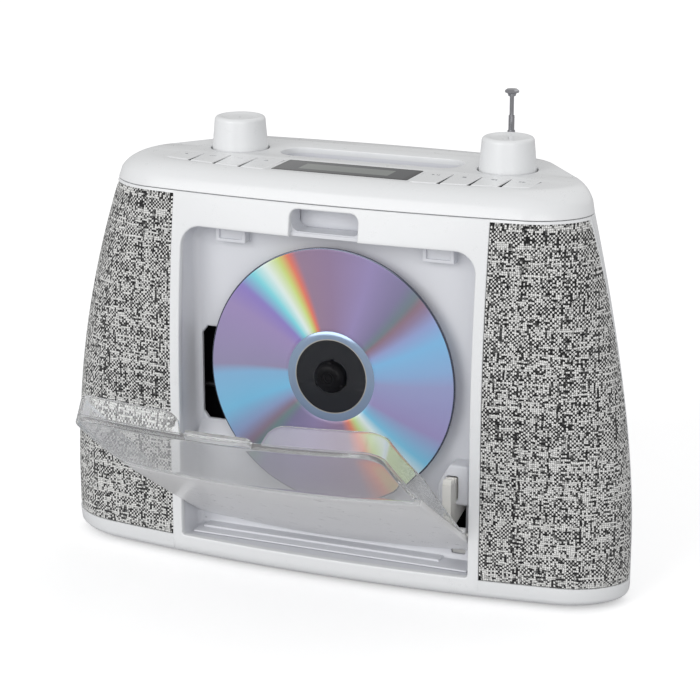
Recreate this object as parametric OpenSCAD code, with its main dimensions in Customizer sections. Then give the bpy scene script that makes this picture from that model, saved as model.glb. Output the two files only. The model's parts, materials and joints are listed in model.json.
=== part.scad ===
// Portable CD player: curved white housing, cloth grilles at the ends, an upright disc well behind
// a fold-down door, a control deck with keys and knobs, a handle bar and a pull-up aerial.
// X runs to the right, Y to the back and Z up; the origin is on the ground under the housing's centre.
// The door is drawn open.

/* [Housing] */
// Width at the base
body_w = 277; // [260:1:330]
// Width at the seam under the top cap
seam_w = 230; // [215:1:255]
// Depth at the base
body_d = 99; // [96:1:120]
// Height of the control deck above the ground
body_h = 187; // [184:1:225]
// Height of the top cap from its seam to the deck
cap_h = 11; // [10:0.5:13]
// Wall of the shells
wall = 3.2; // [2.8:0.1:3.8]
// Thickness of the deck plate
deck_t = 2.6; // [2.2:0.1:3]
// Radius of the bow of the front in plan
bow_r = 770; // [700:10:2000]
// How far the front leans back at the seam
lean_d = 8; // [4:0.5:9]
// Height where the front starts to lean
lean_z = 80; // [60:1:100]
// Height where the ends start to taper
taper_z = 30; // [20:1:60]
// Radius of the two front corners in plan
front_r = 25; // [20:1:30]
// Radius of the two rear corners in plan
rear_r = 20; // [15:1:24]
// Slant of the ends in plan, in degrees
side_slant = 34; // [30:1:36]
// Rounding of the bottom edge
base_r = 6.5; // [6:0.5:10]
// Width of the rounded shoulder between the seam and the deck
shoulder_w = 13.5; // [12:0.5:15]
// Depth of the seam between the front and rear shells, behind the front face
seam_back = 34.5; // [33:0.5:36]
// Height of the feet
foot_h = 1.6; // [1.2:0.1:4]
// Radius of the feet
foot_r = 7; // [5:0.5:8]

/* [Grilles] */
// Half-width of the plain panel between the grilles
grille_x = 76.2; // [76:0.1:80]
// Bottom edge of the cloth above the ground
grille_z = 11.4; // [11:0.1:20]
// Thickness of the cloth
cloth_t = 0.8; // [0.6:0.1:1]
// Thickness of the perforated panel behind it
panel_t = 1.2; // [1:0.1:1.4]
// White border beside the cloth and above it
border_w = 1.5; // [1:0.1:4]

/* [Speakers] */
// Radius of a speaker's flange
speaker_r = 27; // [22:0.5:28]
// Depth of a speaker
speaker_d = 27; // [24:0.5:30]
// Distance of a speaker's centre from the middle
speaker_x = 101; // [100:0.5:104]
// Height of a speaker's centre
speaker_z = 88; // [70:1:95]
// Toe-out of a speaker in plan, in degrees
speaker_toe = 13; // [11:0.5:15]

/* [Disc well] */
// Half-width of the door opening
open_x = 71.2; // [71:0.1:72.5]
// Height of the opening's bottom edge
open_z = 12; // [11.5:0.1:14]
// Height of the opening
open_h = 148.7; // [146:0.1:150]
// Radius of the opening's top corners
open_r = 10; // [8:0.5:11]
// Radius of the disc
disc_r = 60; // [59:0.5:60.5]
// Thickness of the disc
disc_t = 1.2; // [1.1:0.1:1.3]
// Height of the spindle
spindle_z = 94.8; // [93:0.1:97]
// Depth of the disc's front face behind the front of the housing
disc_back = 15.4; // [15:0.1:17]
// Gap between the disc and the floor of the well
disc_gap = 6; // [5:0.5:8]
// Wall of the well
well_t = 2; // [1.6:0.1:2.4]

/* [Door] */
// Gap between the door and its opening
door_gap = 1; // [0.8:0.1:1.2]
// Height of the white lower panel
door_white_h = 87.4; // [80:0.2:95]
// Thickness of the door
door_t = 3; // [2.4:0.1:3.2]
// Depth of the clear rim behind the window
rim_d = 8.5; // [6:0.5:9]
// Height of the hinge above the ground
hinge_z = 31.2; // [31:0.1:33]
// Depth of the hinge behind the front of the housing
hinge_back = 6.4; // [6.2:0.1:7]
// Radius of the hinge pins
hinge_r = 1.5; // [1.2:0.1:1.7]
// Angle between the closed door and the open one, in degrees
door_open = 57.8; // [45:0.1:58]
// Half-width of the finger tab
tab_x = 15; // [10:0.5:20]
// Height of the finger tab
tab_h = 4.8; // [3:0.1:6]
// Module of the sector, pinion, rack and sled gear teeth
tooth_m = 1; // [1:0.01:1.02]
// Teeth in the whole circle of the door sector
sector_n = 48; // [46:1:48]
// Teeth of the damper pinion
pinion_n = 10; // [10:1:11]
// Teeth of the sled gear
sled_n = 12; // [12:1:13]

/* [Deck] */
// Half-width of the display window
lcd_x = 32.9; // [26:0.1:33.4]
// Depth of the display window, front to back
lcd_d = 22; // [18:0.5:22.5]
// Width of a key
key_w = 13.1; // [11:0.1:13.3]
// Depth of a key, front to back
key_d = 22; // [18:0.5:23]
// Gap between two keys
key_gap = 0.5; // [0.4:0.05:0.6]
// Travel of a key
key_travel = 0.8; // [0.5:0.1:0.9]
// Half-distance between the first keys of the two rows
key_x = 34.8; // [34.6:0.1:36]
// Radius of a knob's base
knob_r = 13.1; // [10:0.1:13.4]
// Height of a knob above the deck
knob_h = 15; // [12:0.5:20]
// Gap around a knob
knob_gap = 0.8; // [0.6:0.1:1]
// Half-distance between the knobs
knob_x = 66.5; // [65:0.5:67]
// Distance of the knobs behind the middle
knob_y = 14; // [13.5:0.5:15]
// Radius of a knob's shaft
shaft_r = 3; // [2.5:0.1:3.2]
// Half-length of the finger slot
slot_x = 45; // [38:0.5:46]
// Width of the finger slot
slot_d = 20; // [18:0.5:20]
// Distance of the slot's front edge behind the middle
slot_y = 4.5; // [4:0.5:6]

/* [Aerial] */
// Radius of the outer aerial tube
aerial_r = 3; // [2.9:0.1:3.2]
// Wall of each aerial tube
aerial_t = 0.33; // [0.3:0.01:0.34]
// Length of the outer aerial tube
aerial_l = 98; // [90:1:100]
// How far the tip stands above the deck
aerial_up = 32.4; // [31:0.2:40]
// Travel of each aerial section
aerial_travel = 75; // [50:1:76]

/* [Rear] */
// Half-width of the battery cover
battery_x = 76.6; // [76:0.2:78]
// Height of the battery cover
battery_h = 48; // [47:0.5:50]
// Bottom edge of the battery cover
battery_z = 14; // [13:0.5:15]
// Radius of the audio socket's bore
socket_r = 1.8; // [1.7:0.05:2]

/* [Fits] */
// Radial clearance of a shaft in its bore
run_fit = 0.05; // [0.03:0.01:0.1]
// Clearance of a panel in its opening
panel_fit = 0.3; // [0.2:0.05:0.4]

/* [Hidden] */

seam_z = body_h - cap_h;
front_y0 = -body_d / 2;
back_y0 = body_d / 2;
seam_y = front_y0 + seam_back;
recess_t = cloth_t + panel_t;
far = 400;

// --- Outline of the housing at height z, set in by d -------------------------------------------
seg_front = 16;
seg_corner = 8;
seg_rear = 4;
seg_back = 6;

function ease(z, top, h) = h * (1 - sqrt(max(0, 1 - pow(top / h, 2))));
function base_in(z) = z >= foot_h + base_r ? 0 :
    base_r - sqrt(max(0, base_r * base_r - pow(foot_h + base_r - z, 2)));
function cap_in(z) = z <= seam_z ? 0 :
    shoulder_w * (1 - sqrt(max(0, 1 - pow((z - seam_z) / cap_h, 2))));
function lean(z) = z <= lean_z ? 0 :
    lean_d * pow((min(z, seam_z) - lean_z) / (seam_z - lean_z), 2);
function half_w(z) = body_w / 2 - (z <= taper_z ? 0 :
    (body_w - seam_w) / 2 * pow((min(z, seam_z) - taper_z) / (seam_z - taper_z), 1.8));
function front_y(z) = front_y0 + lean(z) + cap_in(z) + base_in(z);
function back_y(z) = back_y0 - 0.35 * cap_in(z) - base_in(z);

// Points of a flat-fronted outline with rounded corners, for the right half, front to back.
function half_outline(w, ya, yb, r1, r2) =
    let (
        turn = 90 + side_slant,
        l1 = r1 * tan(turn / 2),
        l2 = r2 * tan((180 - turn) / 2),
        xb = w + l1 - r1,
        xc = xb - (yb - ya) * tan(side_slant)
    )
    concat(
        [for (i = [0:seg_front / 2 - 1]) [(xb - l1) * i / (seg_front / 2), ya]],
        [for (i = [0:seg_corner]) let (a = turn * i / seg_corner)
            [xb - l1 + r1 * sin(a), ya + r1 * (1 - cos(a))]],
        [for (i = [0:seg_rear]) let (a = turn + (180 - turn) * i / seg_rear)
            [xc - l2 + r2 * sin(a), yb - r2 * (1 + cos(a))]],
        [for (i = [1:seg_back / 2]) [(xc - l2) * (1 - i / (seg_back / 2)), yb]]
    );

function bowed(p, ya, yb) =
    [p[0], p[1] + p[0] * p[0] / (2 * bow_r) * (1 - 2 * (p[1] - ya) / (yb - ya))];

function outline(z, d) =
    let (
        ya = front_y(z) + d,
        yb = back_y(z) - d,
        w = half_w(z) - 0.9 * cap_in(z) - base_in(z) - d,
        right = half_outline(w, ya, yb, front_r - d, rear_r - d),
        n = len(right)
    )
    concat(
        [for (p = right) bowed(p, ya, yb)],
        [for (i = [1:n - 2]) let (p = right[n - 1 - i]) bowed([-p[0], p[1]], ya, yb)]
    );

function levels(z0, z1) = concat(
    [z0],
    [for (z = [
        foot_h + 0.06 * base_r, foot_h + 0.3 * base_r, foot_h + base_r, 0.21 * seam_z, 0.4 * seam_z,
        0.54 * seam_z, 0.67 * seam_z, 0.78 * seam_z, 0.89 * seam_z, seam_z, seam_z + 0.3 * cap_h,
        seam_z + 0.58 * cap_h, seam_z + 0.8 * cap_h, seam_z + 0.94 * cap_h
    ]) if (z > z0 + 0.3 && z < z1 - 0.3) z],
    [z1]);

// The housing's solid form between two heights, set in by d.
module form(z0, z1, d) {
    zs = levels(z0, z1);
    rings = [for (z = zs) outline(z, d)];
    n = len(rings[0]);
    m = len(zs);
    points = [for (k = [0:m - 1]) for (p = rings[k]) [p[0], p[1], zs[k]]];
    sides = [for (k = [0:m - 2]) for (i = [0:n - 1]) let (j = (i + 1) % n) each [
        [k * n + i, (k + 1) * n + i, (k + 1) * n + j],
        [k * n + i, (k + 1) * n + j, k * n + j]]];
    bottom = [[for (i = [0:n - 1]) i]];
    top = [[for (i = [0:n - 1]) m * n - 1 - i]];
    polyhedron(points = points, faces = concat(sides, bottom, top), convexity = 4);
}

// --- Small helpers -----------------------------------------------------------------------------
module box(x0, x1, y0, y1, z0, z1) {
    translate([x0, y0, z0]) cube([x1 - x0, y1 - y0, z1 - z0]);
}

// A box between two distances each side of the middle.
module mirror_pair() {
    children();
    mirror([1, 0, 0]) children();
}

module rod_x(x0, x1, y, z, r) {
    translate([x0, y, z]) rotate([0, 90, 0]) cylinder(h = x1 - x0, r = r, $fn = 48);
}

module rod_y(y0, y1, x, z, r) {
    translate([x, y0, z]) rotate([-90, 0, 0]) cylinder(h = y1 - y0, r = r, $fn = 48);
}

module rod_z(z0, z1, x, y, r) {
    translate([x, y, z0]) cylinder(h = z1 - z0, r = r, $fn = 48);
}

module round_rect(x0, x1, y0, y1, r) {
    translate([x0 + r, y0]) square([x1 - x0 - 2 * r, y1 - y0]);
    translate([x0, y0 + r]) square([x1 - x0, y1 - y0 - 2 * r]);
    for (x = [x0 + r, x1 - r], y = [y0 + r, y1 - r]) translate([x, y]) circle(r = r, $fn = 48);
}

// A slab that follows the bowed, leaning front between two heights and two depths behind it.
module face_slab(z0, z1, d0, d1) {
    steps = 6;
    half = 7;
    zs = [for (i = [0:steps]) z0 + (z1 - z0) * i / steps];
    translate([0, front_y0 + bow_r, 0]) rotate([0, 0, -90 - half])
        rotate_extrude(angle = 2 * half, $fn = 720) polygon(concat(
            [for (z = zs) [bow_r - lean(z) - d0, z]],
            [for (i = [0:steps]) [bow_r - lean(zs[steps - i]) - d1, zs[steps - i]]]));
}

// Straight-flanked gear teeth around a disc, n to the circle, from angle a0 to a1.
module toothed(n, a0, a1, slim) {
    r = tooth_m * n / 2;
    root = r - 1.25 * tooth_m;
    step = 360 / n;
    for (i = [ceil(a0 / step):floor(a1 / step)]) rotate(i * step) polygon([
        [root - 0.3 * tooth_m, -0.15 * tooth_m * PI],
        [root, -0.29 * tooth_m * PI],
        [r, -slim * tooth_m * PI],
        [r + tooth_m, -0.09 * tooth_m * PI],
        [r + tooth_m, 0.09 * tooth_m * PI],
        [r, slim * tooth_m * PI],
        [root, 0.29 * tooth_m * PI],
        [root - 0.3 * tooth_m, 0.15 * tooth_m * PI]]);
}
slim = 0.21;

// --- Places ------------------------------------------------------------------------------------
white = [0.93, 0.93, 0.94];
dark = [0.1, 0.1, 0.11];
steel = [0.75, 0.76, 0.78];
board_green = [0.12, 0.35, 0.2];

disc_front = front_y0 + disc_back;
disc_rear = disc_front + disc_t;
well_back = disc_rear + disc_gap;
mech_y = well_back + well_t;
mech_d = 8;
plate_t = 2;
mech_x0 = -79;
mech_x1 = 19;
mech_low = 37;
mech_up = 23;

hinge_y = front_y0 + hinge_back;
door_x = open_x - door_gap;
door_z0 = open_z + 1.6;
door_z1 = open_z + open_h - door_gap;
door_mid = door_z0 + door_white_h;
pin_out = 3.2;
pin_x1 = open_x + well_t + 2;
ear_x = [door_x - 4.2, door_x - 0.8];
sector_x = [58, 62];
sector_r = tooth_m * sector_n / 2;
pinion_r = tooth_m * pinion_n / 2;
pinion_dir = 25;
pinion_y = hinge_y + (sector_r + pinion_r) * cos(pinion_dir);
pinion_z = hinge_z + (sector_r + pinion_r) * sin(pinion_dir);
damper_r = 7;
cheek_z = hinge_z + 13.3;

sled_x = [-37, -14];
sled_h = 18.5;
sled_y = [mech_y + 0.5, mech_y + 7];
rail_y = mech_y + 4;
rail_dz = 15;
rail_r = 1.5;
lens_x = -25.5;
gear_x = -30;
sled_r = tooth_m * sled_n / 2;
pitch_z = spindle_z - sled_h - 1.25 * tooth_m - 0.75;
gear_z = pitch_z - sled_r;
rack_y = [mech_y + 0.5, mech_y + 3];

deck_front = front_y0 + lean_d + shoulder_w;
deck_bow = 400;
lip = 2;
deck_low = body_h - deck_t;
board_z = seam_z + 0.6;
board_t = 1.6;
board_top = board_z + board_t;
switch_top = body_h - 5.4;
stem_z = switch_top + key_travel + 0.1;
key_z = stem_z + 0.7;
key_pitch = key_w + key_gap;
keys_back = deck_front + key_d;
lcd_y = deck_front + 2.2;
lcd_t = 1.2;

liner_t = 2;
liner_z = seam_z - 26;
grip_z = [seam_z - 24, seam_z - 7];
grip_x = slot_x - 2;

aerial_x = 60;
aerial_y = knob_y + 23.5;
aerial_run = 0.07;
aerial_step = aerial_t + aerial_run;
aerial_z1 = body_h + 1;
aerial_z0 = aerial_z1 - aerial_l;

speaker_y = front_y0 + 16.5;
ring_t = 3;
post_low = [86, 48];
post_high = [69, seam_z - 26];
post_r = 4;
boss_r = 4.5;
boss_y = 32;
screw_r = 1.5;
screw_y = [20, 44];

inlet_x = [-60, -36];
inlet_z = [78, 96];
socket_x = -20;
socket_z = 87;
socket_l = 14;
box_y = 14;
box_t = 2;
foot_front = [108, -24];
foot_rear = [80, 30];

// --- Housing -----------------------------------------------------------------------------------
module shell_half(front) {
    intersection() {
        form(foot_h, seam_z, 0);
        if (front) box(-far, far, -far, seam_y, -far, far);
        else box(-far, far, seam_y, far, -far, far);
    }
}

module hollow() {
    form(foot_h + wall, seam_z + 1, wall);
}

module grille_area() {
    box(grille_x, far, -far, seam_y - border_w, grille_z, seam_z - border_w);
}

module at_speaker() {
    translate([speaker_x, speaker_y, speaker_z]) rotate([0, 0, speaker_toe]) children();
}

// The door opening's outline with square lower and round upper corners, set out by d.
module open_outline(low, d) {
    translate([-open_x - d, low]) square([2 * (open_x + d), open_z + open_h - low - open_r - 1]);
    round_rect(-open_x - d, open_x + d, open_z, open_z + open_h + d, open_r + d);
}

// Room for the door's finger tab.
module tab_notch() {
    round_rect(-tab_x - 1.5, tab_x + 1.5, open_z + open_h - 9, seam_z - 2.8, 4);
}

module through_front() {
    translate([0, front_y0 + 16, 0]) rotate([90, 0, 0]) linear_extrude(30) children();
}

module front_shell() {
    color(white) difference() {
        union() {
            difference() {
                shell_half(true);
                hollow();
            }
            intersection() {
                form(foot_h, seam_z, recess_t);
                mirror_pair() union() {
                    at_speaker() rod_y(-20, 0, 0, 0, speaker_r);
                    rod_y(front_y0, boss_y, post_low[0], post_low[1], post_r);
                }
            }
        }
        mirror_pair() difference() {
            grille_area();
            form(foot_h - 1, seam_z + 1, recess_t);
        }
        mirror_pair() at_speaker() rod_y(-30, 1, 0, 0, speaker_r - ring_t);
        mirror_pair() rod_y(screw_y[0], boss_y + 1, post_low[0], post_low[1], screw_r);
        through_front() open_outline(open_z, 0);
        through_front() tab_notch();
        mirror_pair() rod_x(open_x - 1, pin_x1 + 0.4, hinge_y, hinge_z, hinge_r + panel_fit);
    }
}

module rear_boss(p) {
    rod_y(boss_y, back_y0, p[0], p[1], boss_r);
}

module rear_screw_hole(p) {
    rod_y(boss_y - 1, screw_y[1] - 1, p[0], p[1], screw_r + 0.1);
    rod_y(screw_y[1] - 3, far, p[0], p[1], 3.2);
}

module rear_shell() {
    color(white) difference() {
        union() {
            difference() {
                shell_half(false);
                hollow();
            }
            intersection() {
                form(foot_h, seam_z, wall / 2);
                union() {
                    mirror_pair() rear_boss(post_low);
                    mirror_pair() rear_boss(post_high);
                    box(aerial_x - 5, aerial_x + 5, aerial_y - 5, far, aerial_z0 - 2, aerial_z0 + 6);
                }
            }
        }
        mirror_pair() rear_screw_hole(post_low);
        mirror_pair() rear_screw_hole(post_high);
        rod_z(aerial_z0, aerial_z0 + 10, aerial_x, aerial_y, aerial_r);
        box(-battery_x, battery_x, box_y + 9, far, battery_z, battery_z + battery_h);
        box(-grip_x, grip_x, box_y + 9, far, grip_z[0], grip_z[1]);
        box(inlet_x[0], inlet_x[1], box_y + 9, far, inlet_z[0], inlet_z[1]);
        rod_y(box_y + 9, far, socket_x, socket_z, 5);
    }
}

module key_bank(x0, x1, extra) {
    intersection() {
        translate([x0 - extra, -far]) square([x1 - x0 + 2 * extra, far + keys_back + extra]);
        translate([0, deck_front - lip - extra + deck_bow]) circle(r = deck_bow, $fn = 720);
    }
}

module slot_outline(d) {
    round_rect(-slot_x - d, slot_x + d, slot_y - d, slot_y + slot_d + d, slot_d / 2 - 0.1 + d);
}

module top_cap() {
    bank = 4 * key_pitch - key_gap;
    color(white) difference() {
        union() {
            difference() {
                form(seam_z, body_h, 0);
                form(seam_z - 1, deck_low, wall);
            }
            mirror_pair() rod_z(board_top, deck_low, slot_x + 5, 0, 2);
            mirror_pair() rod_z(board_top, deck_low, 94, -14, 2.5);
        }
        mirror_pair() translate([0, 0, deck_low - 4]) linear_extrude(20)
            key_bank(key_x, key_x + bank, panel_fit);
        mirror_pair() rod_z(seam_z + 1, body_h + 9, knob_x, knob_y, knob_r + knob_gap);
        box(-lcd_x, lcd_x, lcd_y, lcd_y + lcd_d, body_h - lcd_t, body_h + 1);
        box(-lcd_x + 2, lcd_x - 2, lcd_y + 1.5, lcd_y + lcd_d - 1.5, deck_low - 5, body_h + 1);
        translate([0, 0, deck_low - 5]) linear_extrude(20) slot_outline(0);
        rod_z(seam_z + 1, body_h + 9, aerial_x, aerial_y, aerial_r);
    }
}

module handle_liner() {
    color(white) difference() {
        intersection() {
            form(foot_h + wall, deck_low, wall);
            union() {
                box(-slot_x - liner_t, slot_x + liner_t, slot_y - liner_t,
                    slot_y + slot_d + liner_t, liner_z, deck_low);
                box(-slot_x - liner_t, slot_x + liner_t, slot_y - liner_t, far,
                    liner_z, grip_z[1] + liner_t);
            }
        }
        translate([0, 0, grip_z[0]]) linear_extrude(40) slot_outline(0);
        box(-grip_x, grip_x, slot_y + 1.5, far, grip_z[0], grip_z[1]);
    }
}

module grille_panel() {
    color(dark) difference() {
        intersection() {
            form(foot_h, seam_z, cloth_t);
            grille_area();
        }
        form(foot_h - 1, seam_z + 1, recess_t);
        at_speaker() for (i = [-3:3]) box(-15, 15, -30, 9, 7 * i - 1.8, 7 * i + 1.8);
    }
}

module grille_cloth() {
    color([0.45, 0.46, 0.47]) difference() {
        intersection() {
            form(foot_h, seam_z, 0);
            grille_area();
        }
        form(foot_h - 1, seam_z + 1, cloth_t);
    }
}

// --- Disc well ---------------------------------------------------------------------------------
module laser_window() {
    translate([0, mech_y + 1, 0]) rotate([90, 0, 0]) linear_extrude(well_t + 2) polygon([
        [-66, spindle_z - 30], [0, spindle_z - 30], [0, spindle_z + 15], [-66, spindle_z + 15],
        [-open_x + 1, spindle_z + 9], [-open_x + 1, spindle_z - 24]]);
}

module damper_cheeks() {
    box(54.8, sector_x[0] - 1, well_back - 11, well_back + 0.5, cheek_z, cheek_z + 17.5);
    box(sector_x[1] + 1, 65.2, well_back - 11, well_back + 0.5, cheek_z, cheek_z + 17.5);
    box(54.8, 65.2, well_back - 11, well_back + 0.5, cheek_z + 15.5, cheek_z + 17.5);
}

module cd_well() {
    top = open_z + open_h;
    color(white) difference() {
        union() {
            difference() {
                intersection() {
                    face_slab(open_z - 3, top + 3, wall + panel_fit, 44);
                    translate([0, mech_y, 0]) rotate([90, 0, 0]) linear_extrude(far)
                        open_outline(open_z - 0.6 - well_t, well_t);
                }
                translate([0, well_back, 0]) rotate([90, 0, 0]) linear_extrude(far)
                    open_outline(open_z - 1.6 - well_t, 0);
            }
            box(-open_x - well_t, open_x + well_t, hinge_y + 1, mech_y,
                open_z - 0.6 - well_t, open_z - 0.6);
            intersection() {
                face_slab(hinge_z - 9, hinge_z + 9, wall + panel_fit, 44);
                mirror_pair() rod_x(open_x, pin_x1, hinge_y, hinge_z, pin_out + 0.8);
            }
            mirror_pair() rod_y(mech_y, boss_y, post_high[0], post_high[1], post_r);
            mirror_pair() box(44, 57, well_back - 2.6, well_back + 0.4, top - 4, top + 0.5);
            damper_cheeks();
        }
        laser_window();
        rod_y(well_back - 1, mech_y + 1, 0, spindle_z, 18);
        mirror_pair() rod_x(open_x - 1, open_x + 9, hinge_y, hinge_z, hinge_r + run_fit);
        rod_x(sector_x[1] + 2, open_x + 1, pinion_y, pinion_z, damper_r + panel_fit);
        mirror_pair() rod_y(screw_y[0], boss_y + 1, post_high[0], post_high[1], screw_r);
        box(sector_x[0] - 1, sector_x[1] + 1, well_back - 1, mech_y + 1,
            hinge_z - 17.5, hinge_z + sector_r + 2);
    }
}

// --- Deck --------------------------------------------------------------------------------------
module lcd_window() {
    color([0.13, 0.13, 0.14])
        box(-lcd_x, lcd_x, lcd_y, lcd_y + lcd_d, body_h - lcd_t, body_h);
}

module lcd_panel() {
    color([0.6, 0.63, 0.6])
        box(-lcd_x + 8, lcd_x - 8, lcd_y + 3, lcd_y + lcd_d - 3, board_top, body_h - lcd_t);
}

module control_board() {
    color(board_green) difference() {
        union() {
            box(-60, 60, deck_front - 1, slot_y - liner_t - 0.2, board_z, board_top);
            box(-97, 97, deck_front + 7, slot_y - liner_t - 0.2, board_z, board_top);
            mirror_pair() box(knob_x - 12, knob_x + 10, -2, knob_y + 10, board_z, board_top);
        }
        mirror_pair() rod_z(board_z - 1, board_top + 1, knob_x, knob_y, shaft_r + 0.4);
    }
}

function key_mid(i) = key_x + key_w / 2 + i * key_pitch;
stem_y = deck_front + key_d / 2 + 2;

module tact_switches() {
    color(dark) mirror_pair() for (i = [0:3]) {
        box(key_mid(i) - 3, key_mid(i) + 3, stem_y - 3, stem_y + 3, board_top, switch_top - 1);
        rod_z(switch_top - 1, switch_top, key_mid(i), stem_y, 1.6);
    }
}

module key_cap(i) {
    x0 = key_x + i * key_pitch;
    color(white) {
        translate([0, 0, key_z]) linear_extrude(body_h - key_z) key_bank(x0, x0 + key_w, 0);
        translate([0, 0, key_z]) linear_extrude(0.9) intersection() {
            key_bank(x0, x0 + key_w, 1);
            translate([x0, -far]) square([key_w, 2 * far]);
        }
        rod_z(stem_z, key_z + 1, key_mid(i), stem_y, 2);
    }
}

module knob() {
    top = body_h + knob_h;
    round = 2.6;
    neck = knob_r - 1.3;
    color(white) translate([knob_x, knob_y, 0]) rotate_extrude($fn = 96) polygon(concat(
        [[shaft_r, key_z], [knob_r, key_z], [knob_r, body_h]],
        [for (a = [0:15:90]) [neck - round + round * cos(a), top - round + round * sin(a)]],
        [[neck - round - 1, top - 0.2], [0, top - 0.9], [0, top - 6], [shaft_r, top - 6]]));
}

module knob_shaft() {
    color(steel) rod_z(board_z, body_h + knob_h - 6, knob_x, knob_y, shaft_r);
}

module encoder() {
    color(dark) difference() {
        box(knob_x - 7, knob_x + 7, knob_y - 7, knob_y + 7, board_top, board_top + 4);
        rod_z(board_top - 1, board_top + 5, knob_x, knob_y, shaft_r + run_fit);
    }
}

// --- Aerial ------------------------------------------------------------------------------------
// Tube number i of the telescope, counted from the outer one.
aerial_rise = [0, 1.6, 3.2, 12, 19];

module aerial_piece(i) {
    r = aerial_r - i * aerial_step;
    z0 = aerial_z0 + 1 + i;
    z1 = aerial_z1 + aerial_rise[i];
    color(steel) difference() {
        rod_z(i == 0 ? aerial_z0 : z0, z1, aerial_x, aerial_y, r);
        rod_z(z0, z1 + 1, aerial_x, aerial_y, r - aerial_t);
    }
}

module aerial_rod() {
    r = aerial_r - 5 * aerial_step;
    tip = body_h + aerial_up;
    color(steel) {
        rod_z(aerial_z0 + 7, tip - 1, aerial_x, aerial_y, r);
        translate([aerial_x, aerial_y, tip - 3.4]) rotate_extrude($fn = 48) polygon([
            [0, 0], [1.7, 0], [2.1, 1.2], [3.3, 1.7], [3.3, 2.5], [2.4, 3.2], [0, 3.4]]);
    }
}

// --- Speakers ----------------------------------------------------------------------------------
module speaker_baskets() {
    color(dark) mirror_pair() at_speaker() difference() {
        union() {
            rod_y(0, 2, 0, 0, speaker_r);
            translate([0, 2, 0]) rotate([-90, 0, 0])
                cylinder(h = speaker_d - 14, r1 = speaker_r - 2, r2 = 14, $fn = 64);
        }
        translate([0, -0.01, 0]) rotate([-90, 0, 0])
            cylinder(h = speaker_d - 13, r1 = speaker_r - 3, r2 = 12, $fn = 64);
        rod_y(speaker_d - 14, speaker_d, 0, 0, 9);
    }
}

module speaker_cones() {
    color([0.16, 0.16, 0.17]) mirror_pair() at_speaker() translate([0, 1, 0])
        rotate([-90, 0, 0]) rotate_extrude($fn = 64) polygon([
            [0, 8], [6, 9], [8, 10.5], [speaker_r - 8.7, 1.4], [speaker_r - 7.2, 0.2],
            [speaker_r - 5.8, 0.6], [speaker_r - 5.6, 1.4], [speaker_r - 7.3, 1.2],
            [speaker_r - 8.7, 2.6], [8.4, 11.9], [6, 10.2], [0, 9.2]]);
}

module speaker_magnets() {
    color(steel) mirror_pair() at_speaker() rod_y(speaker_d - 12, speaker_d, 0, 0, 15);
}

// --- Electrics ---------------------------------------------------------------------------------
board_y = 2;

module main_board() {
    color(board_green) {
        box(mech_x0 + 3, 62, board_y, board_y + 1.6, spindle_z - 32, seam_z - 30);
        box(20, 44, board_y + 1.6, board_y + 5, 100, 118);
        box(-44, -20, board_y + 1.6, board_y + 9, 118, 138);
    }
}

module transformer() {
    color([0.55, 0.42, 0.2]) {
        box(85, 105, board_y - 13, board_y + 9, foot_h + wall, foot_h + wall + 32);
        box(82, 108, board_y - 9, board_y + 5, foot_h + wall + 6, foot_h + wall + 26);
    }
}

module mains_inlet() {
    face = back_y0 - 2.4;
    color(dark) difference() {
        box(inlet_x[0], inlet_x[1], 28, face, inlet_z[0], inlet_z[1]);
        translate([0, face + 1, 0]) rotate([90, 0, 0]) linear_extrude(14)
            round_rect(inlet_x[0] + 3, inlet_x[1] - 3, inlet_z[0] + 4, inlet_z[1] - 4, 4.9);
    }
    color(steel) for (x = [-4, 4])
        rod_y(face - 13.5, face - 2, (inlet_x[0] + inlet_x[1]) / 2 + x,
            (inlet_z[0] + inlet_z[1]) / 2, 1.2);
}

module audio_socket() {
    color(dark) difference() {
        rod_y(back_y0 - socket_l - 2, back_y0 - 0.6, socket_x, socket_z, 5);
        rod_y(back_y0 - socket_l - 0.6, back_y0 + 1, socket_x, socket_z, socket_r);
    }
}

module battery_box() {
    x = battery_x + 1.4;
    z1 = battery_z + battery_h;
    color(dark) difference() {
        intersection() {
            form(foot_h + wall, seam_z, wall);
            box(-x - box_t, x + box_t, box_y, far, battery_z - 3 - box_t, z1 + box_t);
        }
        box(-x, x, box_y + box_t, far, battery_z - 3, z1);
    }
}

module battery_contacts() {
    x = battery_x + 1.4;
    color(steel) mirror_pair() for (i = [0, 1]) {
        z = battery_z - 3 + (battery_h + 3) * (0.25 + 0.5 * i);
        box(x - 0.6, x, box_y + 6, box_y + 26, z - 10, z + 10);
        translate([x - 0.6, box_y + 15, z]) rotate([0, -90, 0])
            cylinder(h = 7, r1 = 6, r2 = 3, $fn = 32);
    }
}

module battery_cover() {
    color(white) intersection() {
        difference() {
            form(foot_h, seam_z, 0);
            form(foot_h - 1, seam_z + 1, wall - 0.6);
        }
        box(-battery_x + panel_fit, battery_x - panel_fit, box_y + 9, far,
            battery_z + panel_fit, battery_z + battery_h - panel_fit);
    }
}

module rubber_feet() {
    color(dark) mirror_pair() for (p = [foot_front, foot_rear]) rod_z(0, foot_h, p[0], p[1], foot_r);
}

module case_screw(p) {
    rod_y(screw_y[0], screw_y[1] - 3, p[0], p[1], screw_r);
    rod_y(screw_y[1] - 3, screw_y[1] - 1, p[0], p[1], 3);
}

module case_screws() {
    color(steel) mirror_pair() {
        case_screw(post_low);
        case_screw(post_high);
    }
}

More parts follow.
